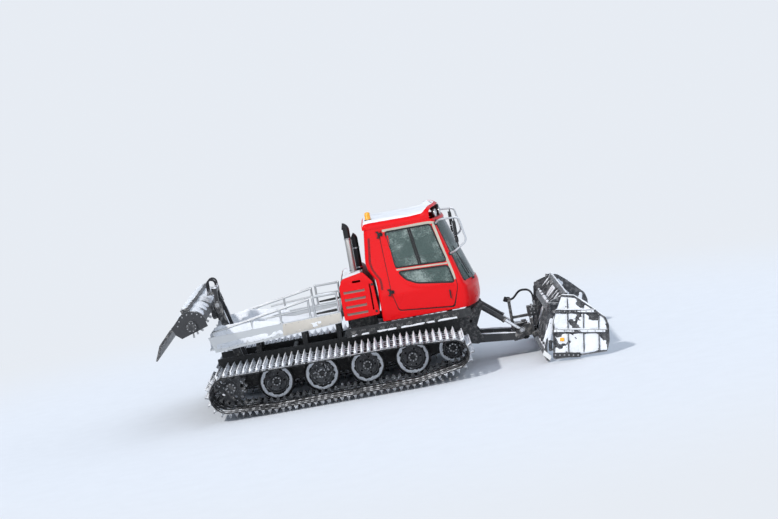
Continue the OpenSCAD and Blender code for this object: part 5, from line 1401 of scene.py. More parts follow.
def hollow_tube(path: Array, radius: float, wall: float, back: int, sides: int = 28,
                up: Sequence[float] = (0, 1, 0)) -> Shape:
    """A tube with an open end: rings run out along the path, turn in, and go back inside it.

    Args:
        path: (n, 3) places of the tube's middle.
        radius: its outer radius.
        wall: its thickness.
        back: how many rings go back inside.
        sides: corners of a ring.
        up: a direction that the path never follows.
    Returns:
        The closed tube.
    """
    path = np.asarray(path, float)
    t = unit(np.gradient(path, axis=0))
    side = unit(np.cross(t, np.asarray(up, float)))
    c = circle(1.0, sides)[None]
    ring = c[..., :1] * side[:, None] + c[..., 1:] * np.cross(side, t)[:, None]
    outer, inner = path[:, None] + radius * ring, path[:, None] + (radius - wall) * ring
    return facing_out(grid(np.concatenate([outer, inner[::-1][:back]])))


# ---------------------------------------------------------------- front tool


@dataclass
class FrontTool:
    """The curved blade, its wings, the lift frame's fasteners and the hoses.

    The plates follow the photograph's lean. The wings stay on the CAD's hinge line, which the
    blade's end gussets carry: at its plate below, and behind it above.
    """

    foot: tuple = (2.690, 0.026)
    lean: float = math.radians(25.0)
    high: float = 1.190
    plate_r: float = 1.500
    plate_t: float = 0.014
    half: float = 1.750
    hinge_foot: tuple = (2.7327, 0.0362)
    hinge_lean: float = math.radians(8.4)
    hinge_y: float = -1.766
    hinges: tuple = (0.250, 0.880)
    fold: float = math.radians(76.0)
    wing_t: float = 0.018
    rib: float = 0.037
    bands: tuple = ((0.470, 0.525, 0.965), (0.800, 0.855, 0.780))
    wing_line: tuple = ((0.046, 0.020), (0.046, 0.620), (0.113, 0.855), (0.205, 1.104), (0.417, 1.090),
                        (0.603, 0.975), (0.935, 0.728), (0.990, 0.600), (0.995, 0.330), (0.954, 0.162))
    slant_z: tuple = (0.620, 0.855, 1.104)
    eye: tuple = (2.668, 0.330)
    lug_y: tuple = (0.241, 0.285)

    def on_blade(self, u: Array, v: Array, y: Array) -> Array:
        """Places from the blade's own axes: u ahead of its chord, v up along it, y across."""
        s, c = math.sin(self.lean), math.cos(self.lean)
        return xyz(self.foot[0] + c * u + s * v, y, self.foot[1] - s * u + c * v)

    def blade_slab(self, corners: Sequence[Sequence[float]], y0: float, y1: float) -> Shape:
        """A plate or bar whose [u, v] outline runs from y0 to y1."""
        c = np.asarray(corners, float)
        return facing_out(grid(np.stack([self.on_blade(c[:, 0], c[:, 1], y) for y in (y0, y1)])))

    def curve(self, v: Array) -> Array:
        """How far the plate's front face lies behind the chord at height v: a circle's sag."""
        half = self.high / 2
        rim = math.sqrt(self.plate_r ** 2 - half ** 2)
        return rim - np.sqrt(self.plate_r ** 2 - (np.asarray(v, float) - half) ** 2)

    def seat(self, v: float) -> float:
        """How far ahead of the chord a rib ends at height v: just inside the plate."""
        return float(self.curve(v)) - 0.006

    def hinge_spot(self, v: Array) -> Array:
        """Places on the right wing's hinge line, v along it."""
        return xyz(self.hinge_foot[0] + v * math.sin(self.hinge_lean), self.hinge_y,
                   self.hinge_foot[1] + v * math.cos(self.hinge_lean))

    def wing_matrix(self) -> Array:
        """The right wing's own axes (reach, height, back) as columns."""
        c, s = math.cos(self.fold), math.sin(self.fold)
        cl, sl = math.cos(self.hinge_lean), math.sin(self.hinge_lean)
        spread = np.array([[0, 0, -1], [-1, 0, 0], [0, 1, 0]], float)
        turn = np.array([[c, -s, 0], [s, c, 0], [0, 0, 1]])
        return np.array([[cl, 0, sl], [0, 1, 0], [-sl, 0, cl]]) @ turn @ spread

    def placed(self, shape: Shape) -> Shape:
        """A shape from the wing's own axes, put where the right wing stands."""
        return facing_out(shape.turned(self.wing_matrix()).moved(self.hinge_spot(0.0)))

    def wing_spots(self, r: Array, z: Array, out: float) -> Array:
        """Places on the right wing from reach, height and distance behind its front face."""
        return xyz(r, z, out) @ self.wing_matrix().T + self.hinge_spot(0.0)

    def layers(self, outline: Array, levels: Sequence[Sequence[float]]) -> Shape:
        """A plate in the wing's own axes from rows of (distance inwards, height over the front face)."""
        return stacked([(inset(outline, d) if d else outline, z) for d, z in levels])

    def edges(self, r: Array) -> tuple:
        """The wing's lower and upper edge at each reach."""
        w = np.array(self.wing_line)
        low = np.interp(r, [0.046, 0.954, 0.995], [0.020, 0.162, 0.330])
        return low, np.interp(r, w[1:8, 0] + np.arange(7) * 1e-6, w[1:8, 1])

    def wing_ribs(self) -> Shape:
        """Bands, ribs, lip, hinge lugs and knuckles, in the wing's own axes."""
        back, deep = self.wing_t, self.wing_t + self.rib
        ribs = []
        for z0, z1, end in self.bands:
            start = float(np.interp(z0, self.slant_z, [0.050, 0.117, 0.21]))
            ribs.append(self.layers(rect(start, z0, end, z1),
                                    ((0, back - 0.001), (0, deep - 0.003), (0.003, deep))))
        for r, z0, z1 in ((0.060, 0.10, 0.62), (0.300, 0.12, 1.04), (0.560, 0.14, 0.95), (0.815, 0.16, 0.77)):
            ribs.append(self.layers(rect(r, z0, r + 0.014, z1), ((0, back - 0.001), (0, deep - 0.004))))
        lip = np.array([[0.205, 1.104], [0.417, 1.090], [0.603, 0.975], [0.935, 0.728], [0.990, 0.600],
                        [0.962, 0.590], [0.912, 0.708], [0.588, 0.949], [0.408, 1.062], [0.205, 1.074]])
        ribs.append(self.layers(lip, ((0, back - 0.001), (0, back + 0.026))))
        for v in self.hinges:
            reach = 0.075 if v < 0.5 else 0.190
            for e in (-1, 1):
                z = v + e * 0.068
                ribs.append(self.layers(rect(0.0, z - 0.019, reach, z + 0.019), ((0, -0.014), (0, 0.017))))
                knuckle = rod(self.hinge_spot(z - 0.020), self.hinge_spot(z + 0.020), 0.030, 24, 0.003)
                ribs.append(facing_out(knuckle.moved(-self.hinge_spot(0.0)).turned(self.wing_matrix().T)))
        return join(ribs)

    def wing_snow(self) -> Shape:
        """Snow between and on the right wing's bands, along its upper edge and on its front."""
        back, deep = self.wing_t, self.wing_t + self.rib
        outward, upward = self.wing_matrix()[:, 2], self.wing_matrix()[:, 1]
        sheets = []
        r = np.linspace(0.060, 0.960, 64)
        low, high = self.edges(r)
        limits = [low + 0.012] + [np.full_like(r, k) for b in self.bands for k in b[:2]] + [high - 0.032]
        rows = np.linspace(0, 1, 22)[None]
        for number in range(3):
            b = np.minimum(limits[2 * number + 1], high - 0.032)
            a = np.minimum(limits[2 * number], b - 0.006)
            z = a[:, None] * (1 - rows) + b[:, None] * rows
            reach = np.maximum(r[:, None], np.interp(z, self.slant_z, [0.052, 0.119, 0.215]))
            sheets.append(crust(self.wing_spots(reach, z, back), outward, 3.0 + number * 5, 0.020, 0.44, 5.0))
        for z0, z1, end in self.bands:
            x = np.linspace(self.band_start(z0), end - 0.02, 50)
            sheets.append(ridge(self.wing_spots(x, z1, back + self.rib * 0.5), 0.020, 0.018, z0 * 9, upward))
            face = self.wing_spots(x[:, None], np.linspace(z0 + 0.004, z1 - 0.004, 6)[None], deep - 0.001)
            sheets.append(crust(face, outward, z0 * 20, 0.008, 0.34, 6.0, 0.004))
        x = np.linspace(0.215, 0.93, 56)
        crest = self.wing_spots(x, self.edges(x)[1] - 0.002, back + 0.006)
        sheets.append(ridge(crest, 0.020, 0.016, 4.0, upward))
        r = np.linspace(0.22, 0.90, 44)
        low, high = self.edges(r)
        rows = np.linspace(0, 1, 40)[None]
        z = (low + 0.03)[:, None] * (1 - rows) + (high - 0.03)[:, None] * rows
        sheets.append(crust(self.wing_spots(r[:, None], z, 0.0), -outward, 8.0, 0.014, 0.42, 5.0))
        return join(sheets)

    def band_start(self, z: float) -> float:
        """Where the snow and the bolts of a band at height z begin."""
        return float(np.interp(z, self.slant_z, [0.060, 0.127, 0.21]))

    def wing_bolts(self) -> Shape:
        """Bolts along the right wing's bands and its runner."""
        deep, outward = self.wing_t + self.rib, self.wing_matrix()[:, 2]
        heads = []
        for z0, z1, end in self.bands:
            spots = np.linspace(self.band_start(z0) + 0.06, end - 0.07, 7)
            heads.append(bolts(self.wing_spots(spots, (z0 + z1) / 2, deep), outward, 0.011, 0.010))
        spots = self.wing_spots(np.linspace(0.09, 0.47, 6), 0.098, self.wing_t + 0.043)
        heads.append(bolts(spots, outward, 0.012, 0.010))
        return join(heads)

    def wings(self) -> None:
        """Both wings: plate, ribs, snow, bolts, runner, reflector and edge."""
        back = self.wing_t
        line = rounded(self.wing_line, 0.030, 4)
        plate = self.layers(line, ((0.002, 0.0), (0.0, 0.002), (0.0, back - 0.002), (0.002, back)))
        rail = rounded([[0.050, 0.052], [0.506, 0.060], [0.506, 0.142], [0.050, 0.136]], 0.010, 3)
        runner = self.layers(rail, ((0, back - 0.001), (0, back + 0.040), (0.003, back + 0.043)))
        glow = self.layers(rounded(rect(0.168, 0.325, 0.238, 0.383), 0.012, 4),
                           ((0, back + 0.001), (0, back + 0.016), (0.004, back + 0.020)))
        shoe = self.layers(np.array([[0.060, 0.010], [0.950, 0.148], [0.950, 0.205], [0.060, 0.060]]),
                           ((0, -0.009), (0, 0.001)))
        ribs, snow, heads = self.placed(self.wing_ribs()), self.wing_snow(), self.wing_bolts()
        for side in SIDES:
            body = f"wing_{side}"
            piece(f"wing_plate_{side}", self.placed(plate).on(side), BLADE_GREY, body,
                  replaces=[body], angle=30)
            piece(f"wing_ribs_{side}", ribs.on(side), BLADE_GREY, body, bevel=0.002)
            piece(f"wing_snow_{side}", snow.on(side), SNOW, body, angle=70)
            piece(f"wing_bolts_{side}", heads.on(side), STEEL, body, angle=30)
            piece(f"wing_runner_{side}", self.placed(runner).on(side), BLADE_GREY, body, bevel=0.0015)
            piece(f"wing_reflector_{side}", self.placed(glow).on(side), AMBER, body, angle=40)
            piece(f"wing_edge_{side}", self.placed(shoe).on(side), STEEL, body, bevel=0.002)

    def blade_steel(self) -> None:
        """The curved plate, its edge and top bar, beams, ribs, end gussets, lugs and hinges."""
        h, w = self.high, self.half
        v = np.linspace(0.006, h - 0.006, 40)
        section = np.concatenate([np.c_[self.curve(v), v], np.c_[self.curve(v) - self.plate_t, v][::-1]])
        parts = [self.blade_slab(section, -w, w),
                 self.blade_slab([[-0.030, 0], [0.016, 0], [-0.010, 0.120], [-0.048, 0.120]], -w, w),
                 self.blade_slab([[-0.046, h - 0.060], [-0.008, h - 0.060], [0.012, h], [-0.030, h]], -w, w)]
        for mid, half, deep in ((0.150, 0.040, 0.120), (0.800, 0.055, 0.190)):
            lo, hi = mid - half, mid + half
            beam = [[-deep, lo], [self.seat(lo), lo], [self.seat(hi), hi], [-deep, hi]]
            parts.append(self.blade_slab(beam, -w + 0.03, w - 0.03))
        ribs = []
        back = [[-0.070, h - 0.060], [-0.190, h - 0.330], [-0.190, 0.520], [-0.150, 0.300], [-0.090, 0.080]]
        steps = np.linspace(0.080, h - 0.060, 12)
        near = np.c_[self.curve(steps) - 0.007, steps].tolist()
        for y in (-1.27, -0.84, -0.42, 0.42, 0.84, 1.27):
            ribs.append(self.blade_slab(near + back, y - 0.009, y + 0.009))
        gusset = near + [[-0.070, h - 0.060], [-0.235, 0.985], [-0.262, 0.870], [-0.235, 0.790],
                         [-0.130, 0.340], [-0.100, 0.080]]
        for s in (-1, 1):
            ribs.append(self.blade_slab(gusset, s * 1.722, s * 1.7485))
            y0 = self.lug_y[0] if s > 0 else -self.lug_y[1]
            y1 = y0 + 0.044
            lug = [[-0.150, 0.240], [-0.150, 0.470], [self.seat(0.47), 0.500], [self.seat(0.35), 0.350],
                   [self.seat(0.21), 0.210]]
            ribs.append(self.blade_slab(lug, y0, y1))
            ribs.append(rod([self.eye[0], y0, self.eye[1]], [self.eye[0], y1, self.eye[1]], 0.042, 32, 0.003))
            foot = [[-0.152, 0.270], [-0.152, 0.400], [-0.128, 0.400], [-0.128, 0.270]]
            ribs.append(self.blade_slab(foot, y0, y1))
            a, b = np.array(self.eye), self.on_blade(-0.140, 0.330, 0.0)[[0, 2]]
            n = np.array([-(b - a)[1], (b - a)[0]]) / np.linalg.norm(b - a)
            ribs.append(slab(np.stack([a - n * 0.038, b - n * 0.044, b + n * 0.044, a + n * 0.038]),
                             y0 + 0.001, y0 + 0.043))
        for v0 in self.hinges:
            knuckle = rod(self.hinge_spot(v0 - 0.045), self.hinge_spot(v0 + 0.045), 0.030, 24, 0.003)
            pin = rod(self.hinge_spot(v0 - 0.094), self.hinge_spot(v0 + 0.094), 0.014, 20, 0.003)
            ribs += [knuckle, knuckle.mirrored(), pin, pin.mirrored()]
        piece("blade_plate", join(parts), BLADE_GREY, "blade", replaces=["blade"], angle=24)
        piece("blade_ribs", join(ribs), BLADE_GREY, "blade", bevel=0.002)
        bar = [[-0.118, 0.082], [0.028, 0.020], [0.028, 0.100], [-0.118, 0.162]]
        piece("gusset_bars", both(self.blade_slab(bar, -1.7525, -1.749)), WHITE, "blade", bevel=0.001)

    def blade(self) -> None:
        """Snow on both faces and the ledges, bolt heads, pin ends and the cutting edge."""
        y = np.linspace(-self.half + 0.02, self.half - 0.02, 128)[:, None]
        v = np.linspace(0.13, self.high - 0.07, 34)[None]
        ahead = np.array([math.cos(self.lean), 0.0, -math.sin(self.lean)])
        sheets = [crust(self.on_blade(self.curve(v), v, y), ahead, 12.0, 0.014, 0.25, 4.5)]
        for lo, hi, seed in ((0.20, 0.735, 21.0), (0.865, 1.10, 25.0)):
            v = np.linspace(lo, hi, 18)[None]
            face = self.on_blade(self.curve(v) - self.plate_t, v, y)
            sheets.append(crust(face, -ahead, seed, 0.013, 0.30, 5.0))
        up = np.array([math.sin(self.lean), 0.0, math.cos(self.lean)])
        y = np.linspace(-self.half + 0.06, self.half - 0.06, 150)
        for u, v0, w, h in ((-0.155, 0.856, 0.028, 0.026), (-0.100, 0.191, 0.020, 0.020),
                            (-0.010, 1.189, 0.018, 0.010)):
            sheets.append(ridge(self.on_blade(u, v0, y), w, h, 3.0 + v0, up))
        u, v = np.linspace(-0.06, -0.17, 14)[:, None], np.linspace(0.30, 0.75, 12)[None]
        end = self.on_blade(u, v, -1.7487)
        sheets.append(crust(end, (0, -1, 0), 31.0, 0.006, 0.4, 12.0, 0.004))
        piece("blade_snow", join(sheets), SNOW, "blade", angle=70)
        spots = np.linspace(-self.half + 0.10, self.half - 0.10, 26)
        heads = [bolts(self.on_blade(0.014, 0.055, spots), ahead, 0.013, 0.011),
                 bolts(self.on_blade(-0.190, 0.80, np.linspace(-1.62, 1.62, 14)), -ahead, 0.012, 0.010)]
        for s in (-1, 1):
            for y0, e in zip(self.lug_y, (-1, 1)):
                heads.append(bolts([(self.eye[0], s * y0, self.eye[1])], (0, e * s, 0), 0.024, 0.004))
        piece("blade_bolts", join(heads), STEEL, "blade", angle=30)
        strip = self.on_blade(np.array([0.0205, 0.0235, 0.012, 0.009])[:, None],
                              np.array([0.004, 0.004, 0.088, 0.088])[:, None],
                              np.linspace(-self.half + 0.004, self.half - 0.004, 8)[None])
        piece("cutting_edge", facing_out(grid(strip.transpose(1, 0, 2))), STEEL, "blade", bevel=0.0015)

    def linkage(self) -> None:
        """Snow and pin caps of the lift frame, and the king pin's nut with its ring of bolts."""
        y = 0.365
        caps, lumps = [], []
        for s in (-1, 1):
            for e in (-1, 1):
                caps.append(pin_cap((2.400, s * y + e * 0.044, 0.452), (0, e, 0), 0.034, 0.010))
            top = between([1.70, s * y, 0.502], [2.30, s * y, 0.418], np.linspace(0, 1, 40))
            lumps.append(ridge(top, 0.024, 0.018, 2.0 + s))
        lumps.append(ridge(xyz(2.285, np.linspace(-0.33, 0.33, 40), 0.400), 0.036, 0.022, 5.0))
        lumps.append(ridge(xyz(np.linspace(2.27, 2.42, 20), 0.11, 0.538), 0.03, 0.018, 8.0))
        piece("lift_frame_snow", join(lumps), SNOW, "lift_frame", angle=70)
        piece("lift_pin_caps", join(caps), STEEL, "lift_frame", angle=30)
        nut = drum([[CORE, 0.0], [0.050, 0.0], [0.054, 0.006], [0.054, 0.018], [0.030, 0.022],
                    [CORE, 0.022]], (2.470, 0, 0.5605), (0, 0, 1), 6)
        heads = bolts(ring_of((2.470, 0, 0.5385), (0, 0, 1), 0.066, 8), (0, 0, 1), 0.010, 0.010)
        piece("king_pin_nut", join([nut, heads]), STEEL, "lift_frame", angle=30)

    def hoses(self) -> None:
        """The two hoses in their woven sleeve, their fittings, and the valve block's screws."""
        route = np.array([[2.300, 0.960], [2.335, 0.965], [2.365, 0.980], [2.395, 1.005], [2.425, 1.035],
                          [2.455, 1.062], [2.490, 1.082], [2.530, 1.090], [2.570, 1.088], [2.615, 1.080],
                          [2.655, 1.056], [2.682, 1.020], [2.696, 0.980], [2.700, 0.935], [2.700, 0.880]])
        tubes, ends = [], []
        for y in (-0.026, 0.026):
            path = smooth_path(xyz(route[:, 0], y, route[:, 1]), 90)
            k = 1 + 0.03 * np.sin(np.arange(90) * 2.2)
            tubes.append(sweep(path, circle(0.0158, 14), (0, 1, 0), scale=k))
            ends.append(drum([[CORE, 0.790], [0.024, 0.790], [0.024, 0.800], [0.019, 0.804], [0.019, 0.850],
                              [0.0235, 0.853], [0.0235, 0.878], [CORE, 0.8795]],
                             (2.700, y, 0), (0, 0, 1), 12))
        n = 60
        sleeve = smooth_path([[2.195, 0, 0.990], [2.22, 0, 0.978], [2.26, 0, 0.966], [2.298, 0, 0.960]], n)
        ring = circle(1.0, 24) * [0.047, 0.034]
        weave = 1 + 0.05 * np.sin(np.arange(n) * 1.9) - 0.10 * np.linspace(1, 0, n) ** 2
        tubes.append(sweep(sleeve, ring, (0, 1, 0), scale=weave))
        piece("front_hose_runs", join(tubes), HOSE, "lift_frame", replaces=["front_hoses"], angle=50)
        block = [pillow(rounded(rect(2.560, 0.620, 2.722, 0.800), 0.012, 3), -0.075, 0.075, 0.004, 2, True),
                 pillow(rounded(rect(2.600, 0.650, 2.700, 0.760), 0.010, 3), -0.110, 0.110, 0.004, 2, True),
                 box((2.3003, -0.030, 0.622), (2.565, 0.030, 0.668)),
                 box((2.250, -0.070, 0.9303), (2.308, 0.070, 0.990))]
        piece("valve_block", join(block), TOOL_BLACK, "lift_frame", bevel=0.002)
        for y in (-0.090, 0.090):
            ends.append(drum([[CORE, 0.752], [0.018, 0.752], [0.018, 0.800], [0.014, 0.814], [CORE, 0.815]],
                             (2.650, y, 0), (0, 0, 1), 12))
        screws = [(x, -0.110, z) for z in (0.735, 0.675) for x in (2.62, 2.68)]
        ends.append(bolts(screws, (0, -1, 0), 0.009, 0.009))
        piece("hose_fittings", join(ends), STEEL, "lift_frame", angle=35)

    def build(self) -> None:
        """Makes the front tool."""
        self.blade_steel()
        self.blade()
        self.wings()
        self.linkage()
        self.hoses()
        repaint(TOOL_BLACK, "lift_frame", "swing_head", "tilt_plate", "lift_barrels")
        repaint(CHROME, "lift_rods")


# ---------------------------------------------------------------- engine bay and exhaust


@dataclass
class EngineBay:
    """Louvred side covers, the mesh behind them, and the exhaust pipes."""

    rear: float = -0.548
    half: float = 0.985
    thick: float = 0.034
    slots: tuple = (-0.490, -0.130)
    louvre: tuple = (1.648, 1.700)
    louvre_step: float = 0.124
    louvre_n: int = 4
    hinge_z: tuple = (1.330, 1.650)
    stacks: tuple = ((-0.272, -0.520, 1.944, 2.690, 80), (-0.162, -0.330, 1.965, 2.500, 60))
    stack_r: float = 0.057

    def outline(self) -> Array:
        """The cover's outline, with its corners rounded."""
        return rounded([[self.rear, 1.198], [self.rear, 1.762], [self.rear + 0.060, 1.905], [-0.117, 1.975],
                        [0.030, 1.782], [0.062, 1.215]], 0.045, 6)

    def slot_lines(self) -> list:
        """Outlines of the louvres, the top slot and the upright slot."""
        x0, x1 = self.slots
        rows = []
        for i in range(self.louvre_n):
            low, high = (z - i * self.louvre_step for z in self.louvre)
            rows.append([[x0, low], [x0, high], [x1, high], [x1, low]])
        rows.append([[-0.315, 1.812], [-0.315, 1.850], [-0.175, 1.850], [-0.175, 1.812]])
        rows.append([[-0.045, 1.310], [-0.045, 1.760], [-0.020, 1.760], [-0.020, 1.310]])
        return [rounded(r, 0.012, 4) for r in rows]

    def covers(self) -> None:
        """The red covers with slots, hoods over the louvres, mesh, latches and hinges, and snow on top."""
        y = -self.half
        solid = pillow(self.outline(), y + self.thick, y, 0.012, 4)
        skin = carve(solid, [slab(line, y - 0.02, y + self.thick + 0.02) for line in self.slot_lines()])
        hoods, mesh = [], []
        x0, x1 = self.slots
        section = np.array([[0, 0.001], [0, 0.005], [-0.0065, 0.002], [-0.0075, -0.010], [-0.0045, -0.010],
                            [-0.004, 0.0]])
        for i in range(self.louvre_n):
            z = self.louvre[1] - i * self.louvre_step
            t = np.array([0.0, 0.02, 0.06, 0.94, 0.98, 1.0]) * (x1 - x0 - 0.01) + x0 + 0.005
            k = np.array([0.15, 0.7, 1, 1, 0.7, 0.15])[:, None]
            hoods.append(facing_out(grid(xyz(t[:, None], y + section[None, :, 0] * k,
                                             z + section[None, :, 1] * k))))
            for row in (0.010, 0.023, 0.036):
                at = xyz(np.arange(x0 + 0.004, x1, 0.012), y + 0.020, z - 0.052 + row)
                mesh.append(copies(box((-0.001, -0.001, -0.006), (0.001, 0.001, 0.006)), at))
            mesh.append(box((x0 - 0.006, y + 0.023, z - 0.056), (x1 + 0.006, y + 0.027, z + 0.004)))
        x = self.rear - 0.016
        knuckles = [rod((x, y + 0.012, z - 0.030), (x, y + 0.012, z + 0.030), 0.012, 16, 0.002)
                    for z in self.hinge_z]
        knuckles += [box((x, y + 0.004, z - 0.028), (self.rear + 0.030, y + 0.020, z + 0.028))
                     for z in self.hinge_z]
        knob = [[CORE, 0], [0.020, 0], [0.022, 0.003], [0.020, 0.006], [CORE, 0.006]]
        latch = [drum(knob, (0.010, y, z), (0, -1, 0), 24) for z in (1.28, 1.74)]
        for side in SIDES:
            node = f"side_cover_{side}"
            piece(f"cover_skin_{side}", skin.on(side), RED, node, replaces=[node], angle=26)
            piece(f"louvre_hoods_{side}", join(hoods).on(side), RED, node, angle=40)
            piece(f"louvre_mesh_{side}", join(mesh).on(side), MESH_TAN, node, angle=40)
            piece(f"cover_knuckles_{side}", join(knuckles).on(side), TRIM, node, bevel=0.002)
            piece(f"cover_latches_{side}", join(latch).on(side), TRIM, node, angle=30)
        top = np.linspace(-0.48, -0.14, 30)
        edge = np.interp(top, [self.rear + 0.060, -0.117], [1.905, 1.975])
        sheet = xyz(top[:, None], np.linspace(-0.93, 0.93, 44)[None], edge[:, None] - 0.004)
        piece("housing_snow", crust(sheet, (-0.15, 0, 1), 14.0, 0.022, 0.15, 5.0), SNOW, "chassis", angle=70)

    def pipes(self) -> None:
        """Both exhaust pipes: an upright trunk, a black elbow with an open end, and straps; the far pipe's
        black is painted shade.
        """
        bright, dark, straps = [], [], []
        r, bend = self.stack_r, 0.075
        band = [[r - 0.001, -0.011], [r + 0.005, -0.011], [r + 0.006, -0.006], [r + 0.006, 0.006],
                [r + 0.005, 0.011], [r - 0.001, 0.011]]
        for number, (x, y, foot, knee, turn) in enumerate(self.stacks):
            a = np.radians(np.linspace(0, turn, 14))[1:]
            rise = xyz(x, y, np.linspace(knee - 0.16, knee, 4))
            bow = xyz(x - bend + bend * np.cos(a), y, knee + bend * np.sin(a))
            dark.append(hollow_tube(np.concatenate([rise, bow]), r, 0.004, 12))
            trunk = rod((x, y, foot), (x, y, knee - 0.155), r - 0.001, 36, 0.002)
            # The far pipe's trunk takes the dark steel too: painted shade and a painted reflection of the
            # dark cab.
            (bright if number == 0 else dark).append(trunk)
            for z in (foot + 0.048, knee - 0.150):
                straps.append(lathe(band, (x, y, z), (0, 0, 1), 40))
                straps.append(box((x - 0.012, y - r - 0.016, z - 0.009),
                                  (x + 0.012, y - r - 0.002, z + 0.009)))
        piece("exhaust_trunk", join(bright), PIPE, "chassis", replaces=["exhaust_pipes"], angle=40)
        piece("exhaust_elbows", join(dark), SOOT_AND_SHADE, "chassis", angle=40)
        piece("exhaust_straps", join(straps), STEEL, "chassis", angle=35)

    def build(self) -> None:
        """Makes the engine bay."""
        self.covers()
        self.pipes()
        repaint(FRAME_BLACK, "engine_housing")
        repaint(ENGINE_GREY, "engine_block")


# ---------------------------------------------------------------- bed, rails and guards


@dataclass
class Bed:
    """The load bed with its snow, the rails' clamps and gate panels, and the guards over the tracks."""

    front: float = -0.590
    rear: float = -2.885
    half: float = 1.000
    rail_y: float = 0.975

    def floor(self, x: Array) -> Array:
        """Height of the bed's floor, falling to the back."""
        return 1.250 - (self.front - np.asarray(x, float)) * 0.052

    def edge(self, x: Array) -> Array:
        """Height of the side plates' upper edge."""
        return 1.375 - (self.front - np.asarray(x, float)) * 0.021

    def load(self) -> None:
        """Snow heaped on the bed, highest along its rear edges, and on the side plates."""
        x = np.linspace(self.rear + 0.02, self.front - 0.05, 110)[:, None]
        y = np.linspace(-0.962, 0.962, 90)[None]
        x, y = np.broadcast_arrays(x, y)
        back = np.clip((-1.45 - x) / 0.9, 0, 1)
        side = np.clip((np.abs(y) - 0.62) / 0.30, 0, 1) ** 1.5
        place = xyz(x, y, 0.0)
        high = 0.045 + 0.030 * wobble(place, 3.0, 2.0) + 0.012 * wobble(place, 11.0, 5.0)
        high = high + back * (0.06 + 0.16 * side) + 0.004 * wobble(place, 41.0, 1.0)
        notch = (x < self.rear + 0.62) & (np.abs(y) < 0.505)
        inward = np.minimum(np.minimum(x - self.rear - 0.02, self.front - 0.05 - x), 0.962 - np.abs(y))
        rim = np.clip(inward / 0.05, 0, 1)
        heap = np.where(notch, -0.012, np.maximum(high * (0.35 + 0.65 * np.sqrt(rim)), 0.004))
        pts = np.concatenate([xyz(x, y, self.floor(x) + heap), xyz(x, y, self.floor(x) - 0.020)[:, ::-1]], 1)
        piece("bed_snow", facing_out(grid(pts)), SNOW, "chassis", angle=70)
        lumps = []
        for s in (-1, 1):
            run = np.linspace(-2.84, -1.55, 90)
            k = np.clip((-1.55 - run) / 0.7, 0, 1)
            a = np.linspace(-0.25, np.pi * 1.02, 15)
            lump = 1 + 0.18 * wobble(xyz(run, 0.0, 0.0), 7.0, 3.0 + s)
            taper = np.clip(np.sin(np.linspace(0.05, np.pi - 0.12, 90)) * 2.5, 0, 1) ** 0.5
            size = (0.035 + 0.085 * k) * lump * taper
            ring_y = s * (0.952 + 0.9 * 0.05 * np.cos(a)[None] * size[:, None] / 0.12)
            ring_z = self.edge(run)[:, None] - 0.02 + size[:, None] * np.sin(a)[None] * 1.5
            lumps.append(facing_out(grid(xyz(run[:, None], ring_y, ring_z))))
            x = np.linspace(-2.80, -0.72, 80)[:, None]
            wall = xyz(x, s * self.half, self.floor(x) - 0.045 + np.linspace(0, 0.12, 10)[None])
            lumps.append(crust(wall, (0, s, 0), 9.0 + s, 0.005, 0.45, 6.0, 0.004))
            t, y = np.linspace(0.03, 0.97, 90), s * self.rail_y
            side_rail = between([-1.110, y, 1.672], [-2.784, y, 1.400], t)
            lumps.append(ridge(side_rail + [0, 0, 0.017], 0.012, 0.010, 3.0 + s))
            lumps.append(ridge(between([-1.02, y, 1.717], [-0.64, y, 1.717], t), 0.012, 0.010, 7.0))
        piece("bed_edge_snow", join(lumps), SNOW, "chassis", angle=70)

    def rails(self) -> None:
        """Feet of the rail posts, gate panels, the bed's side plates and their screws."""
        feet, panels, plates, screws = [], [], [], []
        posts = [(-1.110 + f * (-2.784 + 1.110), 0.020) for f in (0, 0.3, 0.6, 0.86, 1.0)]
        posts += [(-1.030, 0.021), (-0.620, 0.021)]
        for s in (-1, 1):
            for x, neck in posts:
                foot = [[CORE, 0.0], [0.030, 0.0], [0.030, 0.006], [0.022, 0.010], [neck, 0.016],
                        [CORE, 0.016]]
                feet.append(drum(foot, (x, s * 0.9745, float(self.edge(x + 0.021))), (0, 0, 1), 20))
            panel = rounded([[-1.008, 1.395], [-1.008, 1.425], [-0.642, 1.445], [-0.642, 1.395]], 0.03, 5)
            panels.append(slab(panel, s * 0.972, s * 0.978))
            face = rounded([[-1.62, float(self.floor(-1.62)) - 0.055],
                            [-1.60, float(self.edge(-1.60)) - 0.014],
                            [-0.600, float(self.edge(-0.60)) - 0.014],
                            [-0.626, float(self.floor(-0.626)) - 0.048]], 0.02, 4)
            plates.append(pillow(face, s * (self.half - 0.004), s * (self.half + 0.003), 0.002, 2))
            x = np.linspace(-1.55, -0.66, 9)
            screws.append(bolts(xyz(x, s * (self.half + 0.003), self.edge(x) - 0.035), (0, s, 0), 0.007,
                                0.006))
            x = np.linspace(-2.70, -0.66, 15)
            screws.append(bolts(xyz(x, s * self.half, self.floor(x) - 0.030), (0, s, 0), 0.009, 0.007))
        piece("rail_feet", join(feet), ALLOY, "chassis", angle=35)
        piece("gate_panels", join(panels), TRIM, "chassis", angle=30)
        piece("bed_side_plates", join(plates), DUSTY, "chassis", angle=30)
        piece("bed_screws", join(screws), STEEL, "chassis", angle=30)

